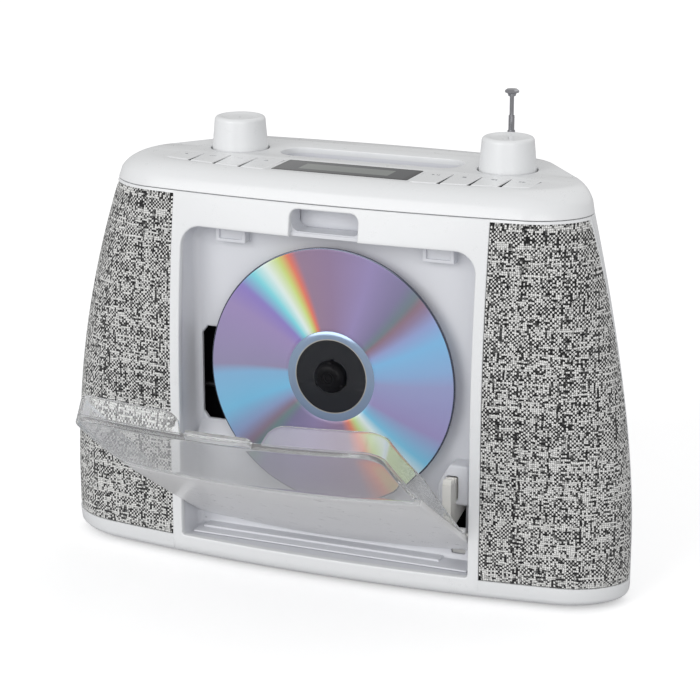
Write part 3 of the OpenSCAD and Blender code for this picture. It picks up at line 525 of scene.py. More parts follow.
def tweed_group():
    """Slubbed plain weave. Warp and weft are rounded threads that pass over each other in turn, and
    each thread has its own yarn, which swells and changes tone along its length. The colour is also
    darkened where the weave lies low, painted shade between the threads."""
    if "Slubbed tweed" in bpy.data.node_groups:
        return bpy.data.node_groups["Slubbed tweed"]
    tree, net, get, give = new_group(
        "Slubbed tweed",
        [("Vector", "NodeSocketVector", None), ("Threads", "NodeSocketFloat", 1000.0),
         ("Dark", "NodeSocketColor", (0.02, 0.02, 0.02, 1)),
         ("Light", "NodeSocketColor", (0.7, 0.7, 0.7, 1))],
        [("Color", "NodeSocketColor"), ("Height", "NodeSocketFloat"), ("Roughness", "NodeSocketFloat")])
    where = net.split(get["Vector"])
    wander = net.noise(get["Vector"], 170.0, 3.0, 0.65)
    u = net.fit(net.minus(wander, 0.5), 2.2, net.times(where[0], get["Threads"]))
    v = net.fit(net.minus(wander, 0.5), -2.2, net.times(where[1], get["Threads"]))
    column, row = net.math("FLOOR", u), net.math("FLOOR", v)
    over = net.math("MODULO", net.plus(net.plus(column, row), 400.0), 2.0)

    def yarn(index, along, across, seed):
        swell = net.noise(net.combine(net.times(index, 3.71), net.times(along, 0.13), seed), 1.0, 3.0, 0.7)
        own = net.chance(net.combine(index, seed))
        tone = net.plus(net.times(swell, 0.95), net.times(own, 0.34))
        hair = net.noise(net.combine(net.times(across, 3.0), net.times(along, 0.9), seed), 2.2, 3.0, 0.7)
        tone = net.fit(net.minus(hair, 0.5), 0.42, tone)
        round_up = net.math("SINE", net.times(net.math("FRACT", across), math.pi))
        return tone, round_up

    warp_tone, warp_up = yarn(column, v, u, 1.7)
    weft_tone, weft_up = yarn(row, u, v, 9.2)
    pass_u = net.math("SINE", net.times(net.math("FRACT", v), math.pi))
    pass_v = net.math("SINE", net.times(net.math("FRACT", u), math.pi))
    warp_high = net.times(warp_up, net.fit(pass_u, 0.5, 0.5))
    weft_high = net.times(weft_up, net.fit(pass_v, 0.5, 0.5))
    tone = net.plus(net.times(warp_tone, over),
                    net.times(weft_tone, net.minus(1.0, over)))
    slub = net.chance(net.combine(column, row))
    tone = net.plus(net.times(tone, 0.62), net.times(slub, 0.28))
    tone = net.fit(over, 0.16, tone)
    high = net.plus(net.times(warp_high, over),
                    net.times(weft_high, net.minus(1.0, over)))
    level = net.ramp(tone, [(0.53, 0.0), (0.58, 0.1), (0.62, 0.8), (0.68, 1.0)])
    # painted shade: the yarn colour falls towards the dark yarn where the threads lie low
    weave_hollow_shade = net.ramp(high, [(0.08, 0.1), (0.4, 0.9), (0.7, 1.0)])
    net.put(give["Color"], net.mix(net.times(level, weave_hollow_shade), get["Dark"], get["Light"]))
    net.put(give["Height"], net.fit(tone, 0.35, high))
    net.put(give["Roughness"], net.fit(tone, -0.1, 0.98))
    return tree


_finishes = {}


def material(name, build):
    """The finish of that name; build gets its net and principled shader the first time."""
    if name not in _finishes:
        made = bpy.data.materials.new(name)
        made.use_nodes = True
        net = Net(made.node_tree)
        build(net, made.node_tree.nodes["Principled BSDF"])
        _finishes[name] = made
    return _finishes[name]


def plastic(name, colour, gloss=0.35, grain=2600.0, strength=0.12, tone=0.03, coat=0.0, specular=0.5):
    """Moulded plastic of one colour."""
    def build(net, shader):
        node = net.group(moulding_group(), Vector=net.place(), Color=(*colour, 1), Grain=grain,
                         Gloss=gloss, Tone=tone)
        net.put(shader.inputs["Base Color"], node.outputs["Color"])
        net.put(shader.inputs["Roughness"], node.outputs["Roughness"])
        net.put(shader.inputs["Normal"], net.bump(node.outputs["Height"], strength, 0.00006))
        shader.inputs["Coat Weight"].default_value = coat
        shader.inputs["Coat Roughness"].default_value = 0.12
        shader.inputs["Specular IOR Level"].default_value = specular
    return material(name, build)


def white_gloss():
    return plastic("satin white plastic", finish().gloss_white, 0.3, 2400.0, 0.06, 0.02, 0.25)


# Housing white made darker and bluer, painted shade for the recessed well, finger pocket and handle liner
def recess_shade_white():
    return plastic("well plastic with painted shade", finish().recess_shade_white, 0.42, 2000.0, 0.1, 0.03)


def door_white():
    return plastic("door plastic", (0.80, 0.80, 0.81), 0.3, 2400.0, 0.03, 0.01, 0.3)


def black_plastic():
    return plastic("black plastic", finish().black, 0.3, 1500.0, 0.1, 0.25, specular=0.12)


# Near-black plastic: on the keys' sides it is painted shade for the gaps between keys, and it is also the
# display panel's dark finish
def gap_shade_and_panel_dark():
    return plastic("shadowed plastic", (0.045, 0.045, 0.05), 0.7, 1500.0, 0.2, 0.1)


def rubber():
    return plastic("rubber", (0.025, 0.025, 0.026), 0.75, 1200.0, 0.4, 0.3, specular=0.3)


def gear_cream():
    return plastic("gear plastic", (0.74, 0.73, 0.69), 0.45, 1800.0, 0.08, 0.05)


def marks_grey():
    return plastic("printed marks", (0.16, 0.17, 0.19), 0.5, 1500.0, 0.05, 0.05)


def metal(name, colour, rough, brush=0.0):
    """Metal with fine marks: brush is how far the marks are drawn out along Z."""
    def build(net, shader):
        where = net.place(scale=(1, 1, 1 + brush))
        marks = net.noise(where, 900.0, 3.0, 0.6)
        shader.inputs["Metallic"].default_value = 1.0
        net.put(shader.inputs["Base Color"], net.mix(net.times(marks, 0.3), colour,
                                                     [c * 0.8 for c in colour]))
        net.put(shader.inputs["Roughness"], net.fit(marks, 0.12, rough))
        net.put(shader.inputs["Normal"], net.bump(marks, 0.05, 0.00005))
    return material(name, build)


def chrome():
    return metal("chrome", (0.40, 0.40, 0.42), 0.08, 6.0)


def steel():
    return metal("zinc plated steel", (0.62, 0.62, 0.60), 0.3)


# Steel darkened to near black: painted shade for the sled rails, which sit in the dark inside behind the
# laser window
def rail_shade_steel():
    return metal("steel darkened as painted shade", (0.05, 0.05, 0.055), 0.4)


def cloth_finish():
    def build(net, shader):
        uv = net.add("ShaderNodeTexCoord").outputs["UV"]
        node = net.group(tweed_group(), Vector=uv, Threads=1.0 / shape().thread,
                         Dark=(*finish().yarn_dark, 1), Light=(*finish().yarn_light, 1))
        net.put(shader.inputs["Base Color"], node.outputs["Color"])
        net.put(shader.inputs["Roughness"], node.outputs["Roughness"])
        net.put(shader.inputs["Normal"], net.bump(node.outputs["Height"], 0.9, 0.0004))
        shader.inputs["Specular IOR Level"].default_value = 0.2
        shader.inputs["Sheen Weight"].default_value = 0.25
        shader.inputs["Sheen Roughness"].default_value = 0.5
    return material("slubbed tweed cloth", build)


def clear_finish():
    def build(net, shader):
        scuffs = net.noise(net.place(), 700.0, 3.0, 0.6)
        shader.inputs["Base Color"].default_value = (*finish().clear, 1)
        shader.inputs["Transmission Weight"].default_value = 0.9
        shader.inputs["IOR"].default_value = 1.06
        shader.inputs["Coat Weight"].default_value = 0.7
        shader.inputs["Coat Roughness"].default_value = 0.04
        net.put(shader.inputs["Roughness"], net.ramp(scuffs, [(0.45, 0.0), (0.8, 0.02)]))
    return material("clear acrylic", build)


def board():
    def build(net, shader):
        where = net.place()
        tracks = net.add("ShaderNodeTexBrick")
        net.put(tracks.inputs["Vector"], where)
        tracks.inputs["Scale"].default_value = 260.0
        tracks.inputs["Mortar Size"].default_value = 0.03
        green = net.mix(tracks.outputs["Fac"], (0.02, 0.11, 0.045), (0.05, 0.2, 0.09))
        net.put(shader.inputs["Base Color"], green)
        net.put(shader.inputs["Roughness"], net.fit(net.noise(where, 300.0), 0.2, 0.3))
        net.put(shader.inputs["Normal"], net.bump(tracks.outputs["Fac"], 0.3, 0.0001))
    return material("circuit board", build)


def cone_paper():
    def build(net, shader):
        fibres = net.noise(net.place(), 1800.0, 4.0, 0.7)
        net.put(shader.inputs["Base Color"], net.mix(fibres, (0.02, 0.02, 0.02), (0.06, 0.06, 0.06)))
        shader.inputs["Roughness"].default_value = 0.9
        net.put(shader.inputs["Normal"], net.bump(fibres, 0.5, 0.0002))
    return material("cone paper", build)


def winding():
    def build(net, shader):
        where = net.place()
        wraps = net.math("SINE", net.times(net.split(where)[2], 9000.0))
        # painted shade: the copper is darker between the turns of wire, on the same waves as the bump
        copper_with_turn_shade = net.mix(net.fit(wraps, 0.5, 0.5), (0.2, 0.12, 0.03), (0.45, 0.3, 0.1))
        net.put(shader.inputs["Base Color"], copper_with_turn_shade)
        shader.inputs["Roughness"].default_value = 0.5
        net.put(shader.inputs["Normal"], net.bump(wraps, 0.4, 0.0001))
    return material("transformer winding", build)


def display_finish():
    """Smoked display window: a black printed border round a grey-green panel seen through it."""
    def build(net, shader):
        middle = (LCD[0] + LCD[1]) / 2
        half = (LCD[1] - LCD[0]) / 2
        x, y, _ = net.split(net.place(centre=middle))
        side = net.math("ABSOLUTE", x)
        deep = net.math("ABSOLUTE", y)

        def inside(w, d):
            return net.times(net.math("LESS_THAN", side, w * MM), net.math("LESS_THAN", deep, d * MM))
        panel = inside(half[0] * 0.66, half[1] * 0.5)
        smoke = inside(half[0] - 2.4, half[1] - 2.2)
        grime = net.noise(net.place(), 90.0, 3.0)
        glow = net.mix(grime, (0.16, 0.175, 0.165), (0.20, 0.215, 0.2))
        base = net.mix(smoke, (0.012, 0.012, 0.014), (0.035, 0.037, 0.042))
        net.put(shader.inputs["Base Color"], net.mix(panel, base, glow))
        net.put(shader.inputs["Roughness"], net.fit(grime, 0.06, 0.07))
        shader.inputs["Specular IOR Level"].default_value = 0.2
    return material("smoked display", build)


# Painted rainbow reflection round the disc: tones by share of a turn from the right and anticlockwise, of 255
# at most.
RAINBOW = [
    (0.000, (150, 158, 205)), (0.020, (135, 175, 220)), (0.060, (122, 188, 232)), (0.085, (145, 160, 212)),
    (0.100, (140, 122, 160)), (0.112, (138, 104, 122)), (0.122, (100, 122, 132)), (0.140, (122, 114, 156)),
    (0.190, (150, 134, 186)), (0.250, (145, 118, 156)), (0.292, (150, 120, 148)), (0.304, (236, 112, 84)),
    (0.318, (208, 226, 120)), (0.338, (236, 250, 245)), (0.358, (122, 222, 232)), (0.380, (140, 120, 200)),
    (0.410, (158, 138, 190)), (0.496, (148, 140, 178)), (0.510, (130, 185, 225)), (0.560, (118, 198, 236)),
    (0.592, (142, 160, 205)), (0.612, (140, 116, 138)), (0.625, (105, 138, 138)), (0.645, (125, 118, 160)),
    (0.700, (145, 130, 175)), (0.795, (150, 122, 155)), (0.822, (236, 132, 98)), (0.842, (204, 230, 145)),
    (0.868, (235, 250, 250)), (0.890, (118, 203, 236)), (0.930, (156, 146, 198)), (1.000, (150, 158, 205))]


def linear(tones):
    """Linear components of display tones of 255 at most."""
    return [0.93 * (t / 255) ** 2.35 for t in tones]


def disc_finish():
    """Playing side of a disc. Colour follows the angle about the hub, a painted rainbow reflection of the
    light that the tracks spread into wedges; radius gives the clear hub, the moulded rings with a painted
    highlight on the stacking ring, the mirror band and the rim."""
    def build(net, shader):
        x, _, z = net.split(net.place(centre=DISC_MID))
        radius = net.math("SQRT", net.plus(net.times(x, x), net.times(z, z)))
        turn = net.math("ARCTAN2", z, x)
        share = net.math("FRACT", net.plus(net.math("DIVIDE", turn, 2 * math.pi), 1.0))
        sway = net.times(net.minus(radius, 0.045), -0.35)
        share = net.math("FRACT", net.plus(share, net.plus(sway, 1.0)))
        # painted reflection: the rainbow of light spread by the tracks is set into the base colour by angle,
        # and fine rings by radius lighten it
        tracks = net.ramp(share, [(place, linear(tones)) for place, tones in RAINBOW])
        grooves = net.noise(net.combine(radius, 0.0, 0.0), 9000.0, 2.0)
        tracks = net.mix(net.times(grooves, 0.12), tracks, (1.0, 1.0, 1.0))

        def beyond(edge):
            return net.math("GREATER_THAN", radius, edge * MM)
        data = net.times(beyond(21.3), net.math("LESS_THAN", radius, 59.3 * MM))
        edge = net.mix(beyond(50.0), (0.30, 0.40, 0.55), (0.07, 0.08, 0.12))
        colour = net.mix(data, edge, tracks)
        # painted highlight: a thin pale grey-gold line along the stacking ring
        colour = net.mix(net.minus(1.0, beyond(17.6)), colour, (0.55, 0.52, 0.46))
        hub = net.minus(1.0, beyond(17.15))
        colour = net.mix(hub, colour, (0.006, 0.007, 0.010))
        net.put(shader.inputs["Base Color"], colour)
        bright = net.minus(1.0, hub)
        net.put(shader.inputs["Metallic"], net.times(bright, net.fit(data, -0.4, 0.6)))
        fine = net.noise(net.place(), 500.0, 2.0)
        net.put(shader.inputs["Roughness"], net.fit(fine, 0.05, net.fit(data, 0.2, 0.12)))
        net.put(shader.inputs["Coat Weight"], net.fit(bright, 0.35, 0.1))
        shader.inputs["Coat Roughness"].default_value = 0.03
    return material("disc painted rainbow", build)


def floor_finish():
    """Pale floor that throws less light back than it shows."""
    def build(net, shader):
        tone = net.noise(net.place(), 3.0, 2.0)
        seen = net.mix(tone, (0.95, 0.95, 0.955), (0.97, 0.97, 0.97))
        path = net.add("ShaderNodeLightPath").outputs["Is Camera Ray"]
        net.put(shader.inputs["Base Color"], net.mix(path, (0.6, 0.6, 0.61), seen))
        net.put(shader.inputs["Emission Color"], net.mix(path, (0.0, 0.0, 0.0), (1.0, 1.0, 1.0)))
        shader.inputs["Emission Strength"].default_value = 0.32
        shader.inputs["Roughness"].default_value = 0.8
        shader.inputs["Specular IOR Level"].default_value = 0.1
    return material("pale floor", build)


# --- Housing -------------------------------------------------------------------------------------
GRILLE_X = CLOTH[0][0]
GRILLE_Z0, GRILLE_Z1 = CLOTH[0][2], CLOTH[1][2]
GRILLE_Y = CLOTH[1][1]
OPEN_X, OPEN_Z0 = 71.2, 12.0
OPEN_Z1 = 160.7
NOTCH_X, NOTCH_Z = 16.5, 173.2
# Edges at the seam under the cap stop short of it and sink below the form, which draws the seam.
SEAM_GAP, SEAM_SINK = 0.35, 0.25
# Middles (x, z) on the back, with the radii of the holes and of the collars' bore and flange.
AUDIO = (-20, 87)
AUDIO_R, AUDIO_BORE, AUDIO_RIM = 5.4, 4.8, 7.6
SCREWS = [(sign * x, z) for sign in (-1, 1) for x, z in ((86, 48), (69, 150))]
SCREW_R, SCREW_BORE, SCREW_RIM = 3.9, 3.1, 5.8
COLLAR_DEPTH = 4


def rise(points):
    """Turns flat points (x, z, depth) into the housing's frame, with depth behind the front face."""
    p = np.asarray(points, float)
    return np.stack([p[..., 0], form().face(p[..., 0], p[..., 1]) + p[..., 2], p[..., 1]], -1)


def opening_sides(d):
    """Four open lines round the door opening with its finger notch, grown by d: right, top, left and
    bottom, each from one corner's middle to the next, anticlockwise from the bottom right."""
    r, n = shape().opening_corner / MM, 10
    x, z0, z1 = OPEN_X + d, OPEN_Z0 - d, OPEN_Z1 + d
    rd, rb, rn = r + d, 1.5 + d, 4 + d
    low = arc(x - rb, z0 + rb, rb, 270, 360, n)
    high = arc(x - rd, z1 - rd, rd, 0, 90, 2 * n)
    nx, nz = NOTCH_X + d, NOTCH_Z + d
    notch = np.vstack([[[nx, z1]], arc(nx - rn, nz - rn, rn, 0, 90, n),
                       arc(rn - nx, nz - rn, rn, 90, 180, n), [[-nx, z1]]])
    k = len(low) // 2
    right = np.vstack([low[k:], high[:n + 1]])
    top = np.vstack([high[n:], notch, (high[n:] * [-1, 1])[::-1]])
    left = (right * [-1, 1])[::-1]
    bottom = np.vstack([(low[:k + 1] * [-1, 1])[::-1], low[:k + 1]])
    return right, top, left, bottom


def on_front(loop, depth):
    """A flat outline (x, z) laid on the bowed front, at one depth behind it or one for each point."""
    return rise(np.column_stack([loop, np.zeros(len(loop)) + depth]))


def run_along(line):
    """Length of a line from its start to each of its points."""
    return np.concatenate([[0], np.cumsum(np.linalg.norm(np.diff(line, axis=0), axis=1))])


def spaced(line, count):
    """Shares of a line's length: evenly spaced ones, plus every corner of the line itself."""
    run = run_along(line)
    return np.unique(np.round(np.concatenate([run / run[-1], np.linspace(0, 1, count)]), 5))


def front_panel():
    """The front between the grilles: rings grow from the door opening's outline to the panel's
    rectangle and lie on the bowed, leaning face, with a quarter-round lip along the opening."""
    base = opening_sides(0)
    shares = [spaced(line, count) for line, count in zip(base, (40, 48, 40, 48))]
    top_z = SEAM_Z - SEAM_GAP
    corners = np.array([[GRILLE_X, FOOT], [GRILLE_X, top_z], [-GRILLE_X, top_z], [-GRILLE_X, FOOT]])

    def opening_loop(d):
        out = []
        for line, share in zip(opening_sides(d), shares):
            ref = run_along(base[len(out)])
            at = np.interp(share * ref[-1], ref, np.arange(len(ref)))
            out.append(np.stack([np.interp(at, np.arange(len(line)), line[:, k]) for k in (0, 1)], -1)[:-1])
        return np.vstack(out)

    def by_grille(loop):
        return (loop[:, 1] > GRILLE_Z0) & (loop[:, 1] < GRILLE_Z1)

    def outer_loop(inset):
        out = []
        for k, share in enumerate(shares):
            a, b = corners[k], corners[(k + 1) % 4]
            out.append((a + (b - a) * share[:, None])[:-1])
        loop = np.vstack(out)
        side = np.where(by_grille(loop), inset, 0)
        return np.stack([np.clip(loop[:, 0], side - GRILLE_X, GRILLE_X - side),
                         np.clip(loop[:, 1], FOOT, top_z - inset)], -1)

    r, wall = shape().edge / MM, shape().wall / MM
    rings = [on_front(opening_loop(0), wall)]
    for a in np.linspace(0, math.pi / 2, 6):
        rings.append(on_front(opening_loop(r * (1 - math.cos(a))), r * (1 - math.sin(a))))
    start, end = opening_loop(r), outer_loop(SEAM_SINK)
    for t in np.linspace(0, 1, 15)[1:]:
        rings.append(on_front(start + (end - start) * t, 0))
    edge = outer_loop(0)
    sunk = np.where(by_grille(edge) | (edge[:, 1] > top_z - 0.01), SEAM_SINK, 0.001)
    rings += [on_front(edge, sunk), on_front(edge, wall)]
    return tube(np.array(rings), wrap=True)


def side_frame():
    """White rim round the right grille: the base band, the strip under the seam and the strip beside
    the rear shell. It is a curved sheet on the housing's form with the cloth's place left open."""
    f = form()
    base = np.concatenate([FOOT + (f.base * (1 - np.cos(np.linspace(0, 1.2, 8)))), [GRILLE_Z0]])
    base = base[base <= GRILLE_Z0]
    z = np.concatenate([base, np.linspace(GRILLE_Z0, GRILLE_Z1, 28)[1:], [SEAM_Z - SEAM_GAP]])
    grids = []
    for d in (np.concatenate([np.zeros(len(z) - 1), [SEAM_SINK]]), np.full(len(z), shape().wall / MM)):
        a = f.strip(z, ("x", GRILLE_X), ("y", GRILLE_Y), 70, d)
        b = f.strip(z, ("y", GRILLE_Y), ("y", SEAM_Y - 0.2), 4, d)
        grids.append(np.concatenate([a, b[:, 1:]], 1))
    keep = np.ones((len(z) - 1, grids[0].shape[1] - 1), bool)
    mid = (z[1:] + z[:-1]) / 2
    keep[np.ix_((mid > GRILLE_Z0) & (mid < GRILLE_Z1), np.arange(69))] = False
    return slab(grids[0], grids[1], keep)


class PLAYER_OT_front(bpy.types.Operator):
    """Front shell: the panel round the door opening and the rims round both grilles"""
    bl_idname = "player.front"
    bl_label = "Front shell"

    def execute(self, context):
        wing = side_frame()
        part = join(front_panel(), wing, mirrored(wing))
        mesh_object("front_shell_finish", part, white_gloss(), "housing", "front_shell", 35)
        return {"FINISHED"}


def cloth_side():
    """Grille cloth: a sheet stretched over the housing's form a little below its rim, with rolled
    edges. Its UVs are metres along the cloth and up it."""
    f = form()
    z = np.linspace(GRILLE_Z0 + 0.15, GRILLE_Z1 - 0.15, 60)
    fall = lambda s: 0.55 * np.clip(1 - s / 1.6, 0, 1) ** 2
    edge_z = fall(np.minimum(z - z[0], z[-1] - z))
    front = f.strip(z, ("x", GRILLE_X + 0.15), ("y", GRILLE_Y - 0.15), 110, 0.25 + edge_z)
    back = f.strip(z, ("x", GRILLE_X + 0.15), ("y", GRILLE_Y - 0.15), 110, 0.85 + edge_z)
    run = np.zeros(front.shape[:2])
    run[:, 1:] = np.cumsum(np.linalg.norm(np.diff(front[..., :2], axis=1), axis=2), 1)
    # the ends of each row sink with the edge, so the cloth tucks behind the rim
    across = np.minimum(run, run[:, -1:] - run)
    sink = fall(across)[..., None] * np.array([0, 1, 0])
    uv = np.stack([run * MM, front[..., 2] * MM], -1).reshape(-1, 2)
    return slab(front + sink, back + sink), np.vstack([uv, uv]), run


class PLAYER_OT_cloth(bpy.types.Operator):
    """Tweed cloth stretched over the two grilles"""
    bl_idname = "player.cloth"
    bl_label = "Grille cloth"

    def execute(self, context):
        part, uv, run = cloth_side()
        for side, shape_part in (("right", part), ("left", mirrored(part))):
            piece = mesh_object(f"grille_cloth_{side}_weave", shape_part, cloth_finish(), "housing",
                                f"grille_cloth_{side}", 60, uv=uv, weld=False)
        return {"FINISHED"}


def back_hole(x, y, z):
    """Whether points of the back lie in the handle's, battery's, socket's or a screw's opening."""
    battery = node_box("battery_cover")
    inlet = node_box("mains_inlet")
    liner = node_box("handle_liner")
    grip = (np.abs(x) < liner[1][0] - 4) & (z > liner[0][2] + 2) & (z < SEAM_Z - 7)
    cover = (np.abs(x) < battery[1][0] + 0.2) & (z > battery[0][2] - 0.2) & (z < battery[1][2] + 0.2)
    mains = (x > inlet[0][0]) & (x < inlet[1][0]) & (z > inlet[0][2]) & (z < inlet[1][2])
    round_hole = np.zeros(x.shape, bool)
    for cx, cz, r in [(*AUDIO, AUDIO_R)] + [(*screw, SCREW_R) for screw in SCREWS]:
        round_hole |= (x - cx) ** 2 + (z - cz) ** 2 < r ** 2
    return (y > 15) & (grip | cover | mains | round_hole)


def cuts(values, low, high, step):
    """Sorted places from low to high, about a step apart, with every given value among them."""
    marks = np.unique(np.clip(np.concatenate([[low, high], values]), low, high))
    return np.concatenate([np.linspace(a, b, max(1, int(round((b - a) / step))), endpoint=False)
                           for a, b in zip(marks, marks[1:])] + [[high]])


def rear_grids(d, top_inset=SEAM_SINK):
    """Outer grid of the rear shell, from the seam on the right round the back to the left seam."""
    f = form()
    battery, inlet = node_box("battery_cover"), node_box("mains_inlet")
    grip = (SEAM_Z - 24, SEAM_Z - 7)
    z = cuts(np.array([battery[0][2] - .2, battery[1][2] + .2, inlet[0][2], inlet[1][2], *grip,
                       FOOT + 1, FOOT + 3, FOOT + f.base, SEAM_Z - 0.6]), FOOT, SEAM_Z - SEAM_GAP, 2.2)
    inset = np.where(z > SEAM_Z - 0.5, top_inset, 0) + d
    marks = [battery[1][0] + .2, 60, 43, 36, 0]
    sides = []
    for sign in (1, -1):
        runs = [f.strip(z, ("y", SEAM_Y + 0.2), ("back", marks[0]), 52, inset)]
        for a, b in zip(marks, marks[1:]):
            runs.append(f.strip(z, ("back", a), ("back", b), int((a - b) / 2.2) + 2, inset)[:, 1:])
        side = np.concatenate(runs, 1)
        sides.append(side * [sign, 1, 1])
    return np.concatenate([sides[0], sides[1][:, -2::-1]], 1)


def collar(x, z, hole, rim, proud, depth):
    """Turned bush whose flange follows the back: its profile runs from deep inside the hole, over a
    rounded lip, and out to the flange's edge, and each point is moved onto the back's surface."""
    profile = [(hole, -depth), (hole, proud - 0.3), (hole + 0.3, proud), (rim - 0.4, proud),
               (rim, proud - 0.4), (rim, -2.0), (rim - 1, -depth)]
    rings = lathe(profile, 40)
    px, pz = rings[..., 0] + x, rings[..., 1] + z
    f = form()
    rows = []
    for ring_x, ring_z, up in zip(px, pz, rings[..., 2]):
        ox, oy, _ = f.right(ring_z)
        h = np.argmax(ox, axis=1)
        y = np.array([np.interp(-abs(v), -ox[k][h[k]:], oy[k][h[k]:]) for k, v in enumerate(ring_x)])
        rows.append(np.stack([ring_x, y + up, ring_z], -1))
    return tube(np.array(rows), wrap=True)


class PLAYER_OT_rear(bpy.types.Operator):
    """Rear shell with its openings, socket and screw collars, and the battery cover"""
    bl_idname = "player.rear"
    bl_label = "Rear shell"

    def execute(self, context):
        outer, inner = rear_grids(0), rear_grids(shape().wall / MM, 0)
        middle = (outer[1:, 1:] + outer[:-1, :-1]) / 2
        keep = ~back_hole(*np.moveaxis(middle, -1, 0))
        parts = [slab(outer, inner, keep), collar(*AUDIO, AUDIO_BORE, AUDIO_RIM, 0.5, COLLAR_DEPTH)]
        parts += [collar(*screw, SCREW_BORE, SCREW_RIM, 0.35, COLLAR_DEPTH) for screw in SCREWS]
        mesh_object("rear_shell_finish", join(*parts), white_gloss(), "housing", "rear_shell",
                    35)
        self.cover()
        return {"FINISHED"}

    def cover(self):
        """Battery cover: a sheet on the back's form, dished at a finger pull with three ribs."""
        f = form()
        low, high = node_box("battery_cover")
        z = cuts(np.linspace(high[2] - 14, high[2] - 4, 24), low[2], high[2], 2)
        half = np.concatenate([f.strip(z, ("back", high[0]), ("back", 0), 60, 0.0)], 1)
        grid = np.concatenate([half, (half * [-1, 1, 1])[:, -2::-1]], 1)
        inner = f.strip(z, ("back", high[0]), ("back", 0), 60, 2.4)
        inner = np.concatenate([inner, (inner * [-1, 1, 1])[:, -2::-1]], 1)
        x, zz = grid[..., 0], grid[..., 2]
        pull_w, pull_h, pull_down, rib_step, pull_d, lip = 17, 6, 9, 3.2, 1.3, 0.4
        up = zz - high[2] + pull_down
        dish = np.clip(1 - (x / pull_w) ** 4, 0, 1) * np.clip(1 - (up / pull_h) ** 4, 0, 1)
        ribs = 0.5 + 0.5 * np.cos(up * 2 * np.pi / rib_step)
        edge = np.minimum(np.minimum(x - low[0], high[0] - x), np.minimum(zz - low[2], high[2] - zz))
        pull = pull_d * np.sqrt(dish) * (1 - 0.6 * ribs * (dish > 0.35))
        grid[..., 1] -= pull + lip * np.clip(1 - edge / 0.5, 0, 1)
        mesh_object("battery_cover_finish", slab(grid, inner), white_gloss(), "rear_cover", "battery_cover",
                    35)


# --- Top -----------------------------------------------------------------------------------------
DECK_LOW = DECK_Z - 2.6
KEY_TOP = DECK_Z + 0.25


def rim(loop, z0, z1, r, bottom_r=0.0, n=5):
    """Rows of a plate's edge from its top to its underside: a quarter round of radius r, a straight
    side and another quarter round. The body lies to the left of the loop."""
    a = np.linspace(0, np.pi / 2, n)
    inset = np.concatenate([r * (1 - np.sin(a)), bottom_r * (1 - np.cos(a))])
    height = np.concatenate([z1 - r * (1 - np.cos(a)), z0 + bottom_r * (1 - np.sin(a))])
    way = side_way(np.asarray(loop, float))
    flat = np.asarray(loop)[None] - way[None] * inset[:, None, None]
    return np.concatenate([flat, np.broadcast_to(height[:, None, None], flat.shape[:2] + (1,))], -1)


def capped(rims):
    """Closed plate through rims, the first its outline and the rest its holes: each rim's rows are
    joined, and the first and last rows are filled flat."""
    points, faces, count, tops, bottoms = [], [], 0, [], []
    for rows in rims:
        m, n = rows.shape[:2]
        points.append(rows.reshape(-1, 3))
        faces += (quads(m, n, False, True)[:, ::-1] + count).tolist()
        tops.append((rows[0], count))
        bottoms.append((rows[-1], count + (m - 1) * n))
        count += m * n
    for ends, flip in ((tops, False), (bottoms, True)):
        names = np.concatenate([start + np.arange(len(ring)) for ring, start in ends])
        for tri in tessellate_polygon([[Vector((p[0], p[1], 0)) for p in ring] for ring, _ in ends]):
            face = [int(names[k]) for k in tri]
            faces.append(face[::-1] if flip else face)
    return np.vstack(points), faces


def key_outline(x0, x1, grow=0.0, r=0.8):
    """Plan of a key or bank of keys: straight sides and back, and a front bowed like the deck's."""
    front = FRONT_Y + form().lean + form().shoulder - 2
    back = front + 24
    x = np.linspace(x0 - grow, x1 + grow, 24)
    y = front - grow + 400 - np.sqrt(400 ** 2 - x ** 2)
    return np.vstack([
        np.stack([x, y], -1)[1:-1],
        arc(x1 + grow - r, back + grow - r, r, 0, 90, 6), arc(x0 - grow + r, back + grow - r, r, 90, 180, 6)])


def cap_rows():
    """Rows of the cap's outside: from the deck's edge down the elliptic shoulder to the seam, and
    back up inside to the deck's underside."""
    f = form()
    reach = f.shoulder - 2
    inset = reach * (1 - np.linspace(0, 1, 15) ** 1.6)
    z = SEAM_Z + CAP_H * np.sqrt(1 - ((f.shoulder - inset) / f.shoulder) ** 2)
    rows = f.loop(z, 0)
    stretch = CAP_H / (z[0] - SEAM_Z)
    rows[..., 2] = SEAM_Z + (rows[..., 2] - SEAM_Z) * stretch
    lip = f.loop(np.array([SEAM_Z]), 0.25)
    inner = f.loop(np.array([SEAM_Z, SEAM_Z + 5, SEAM_Z + 8]), 3.2)
    inner[-1, :, 2] = DECK_LOW
    rows[-1, :, 2] = SEAM_Z + 0.25
    return np.concatenate([rows, lip, inner])


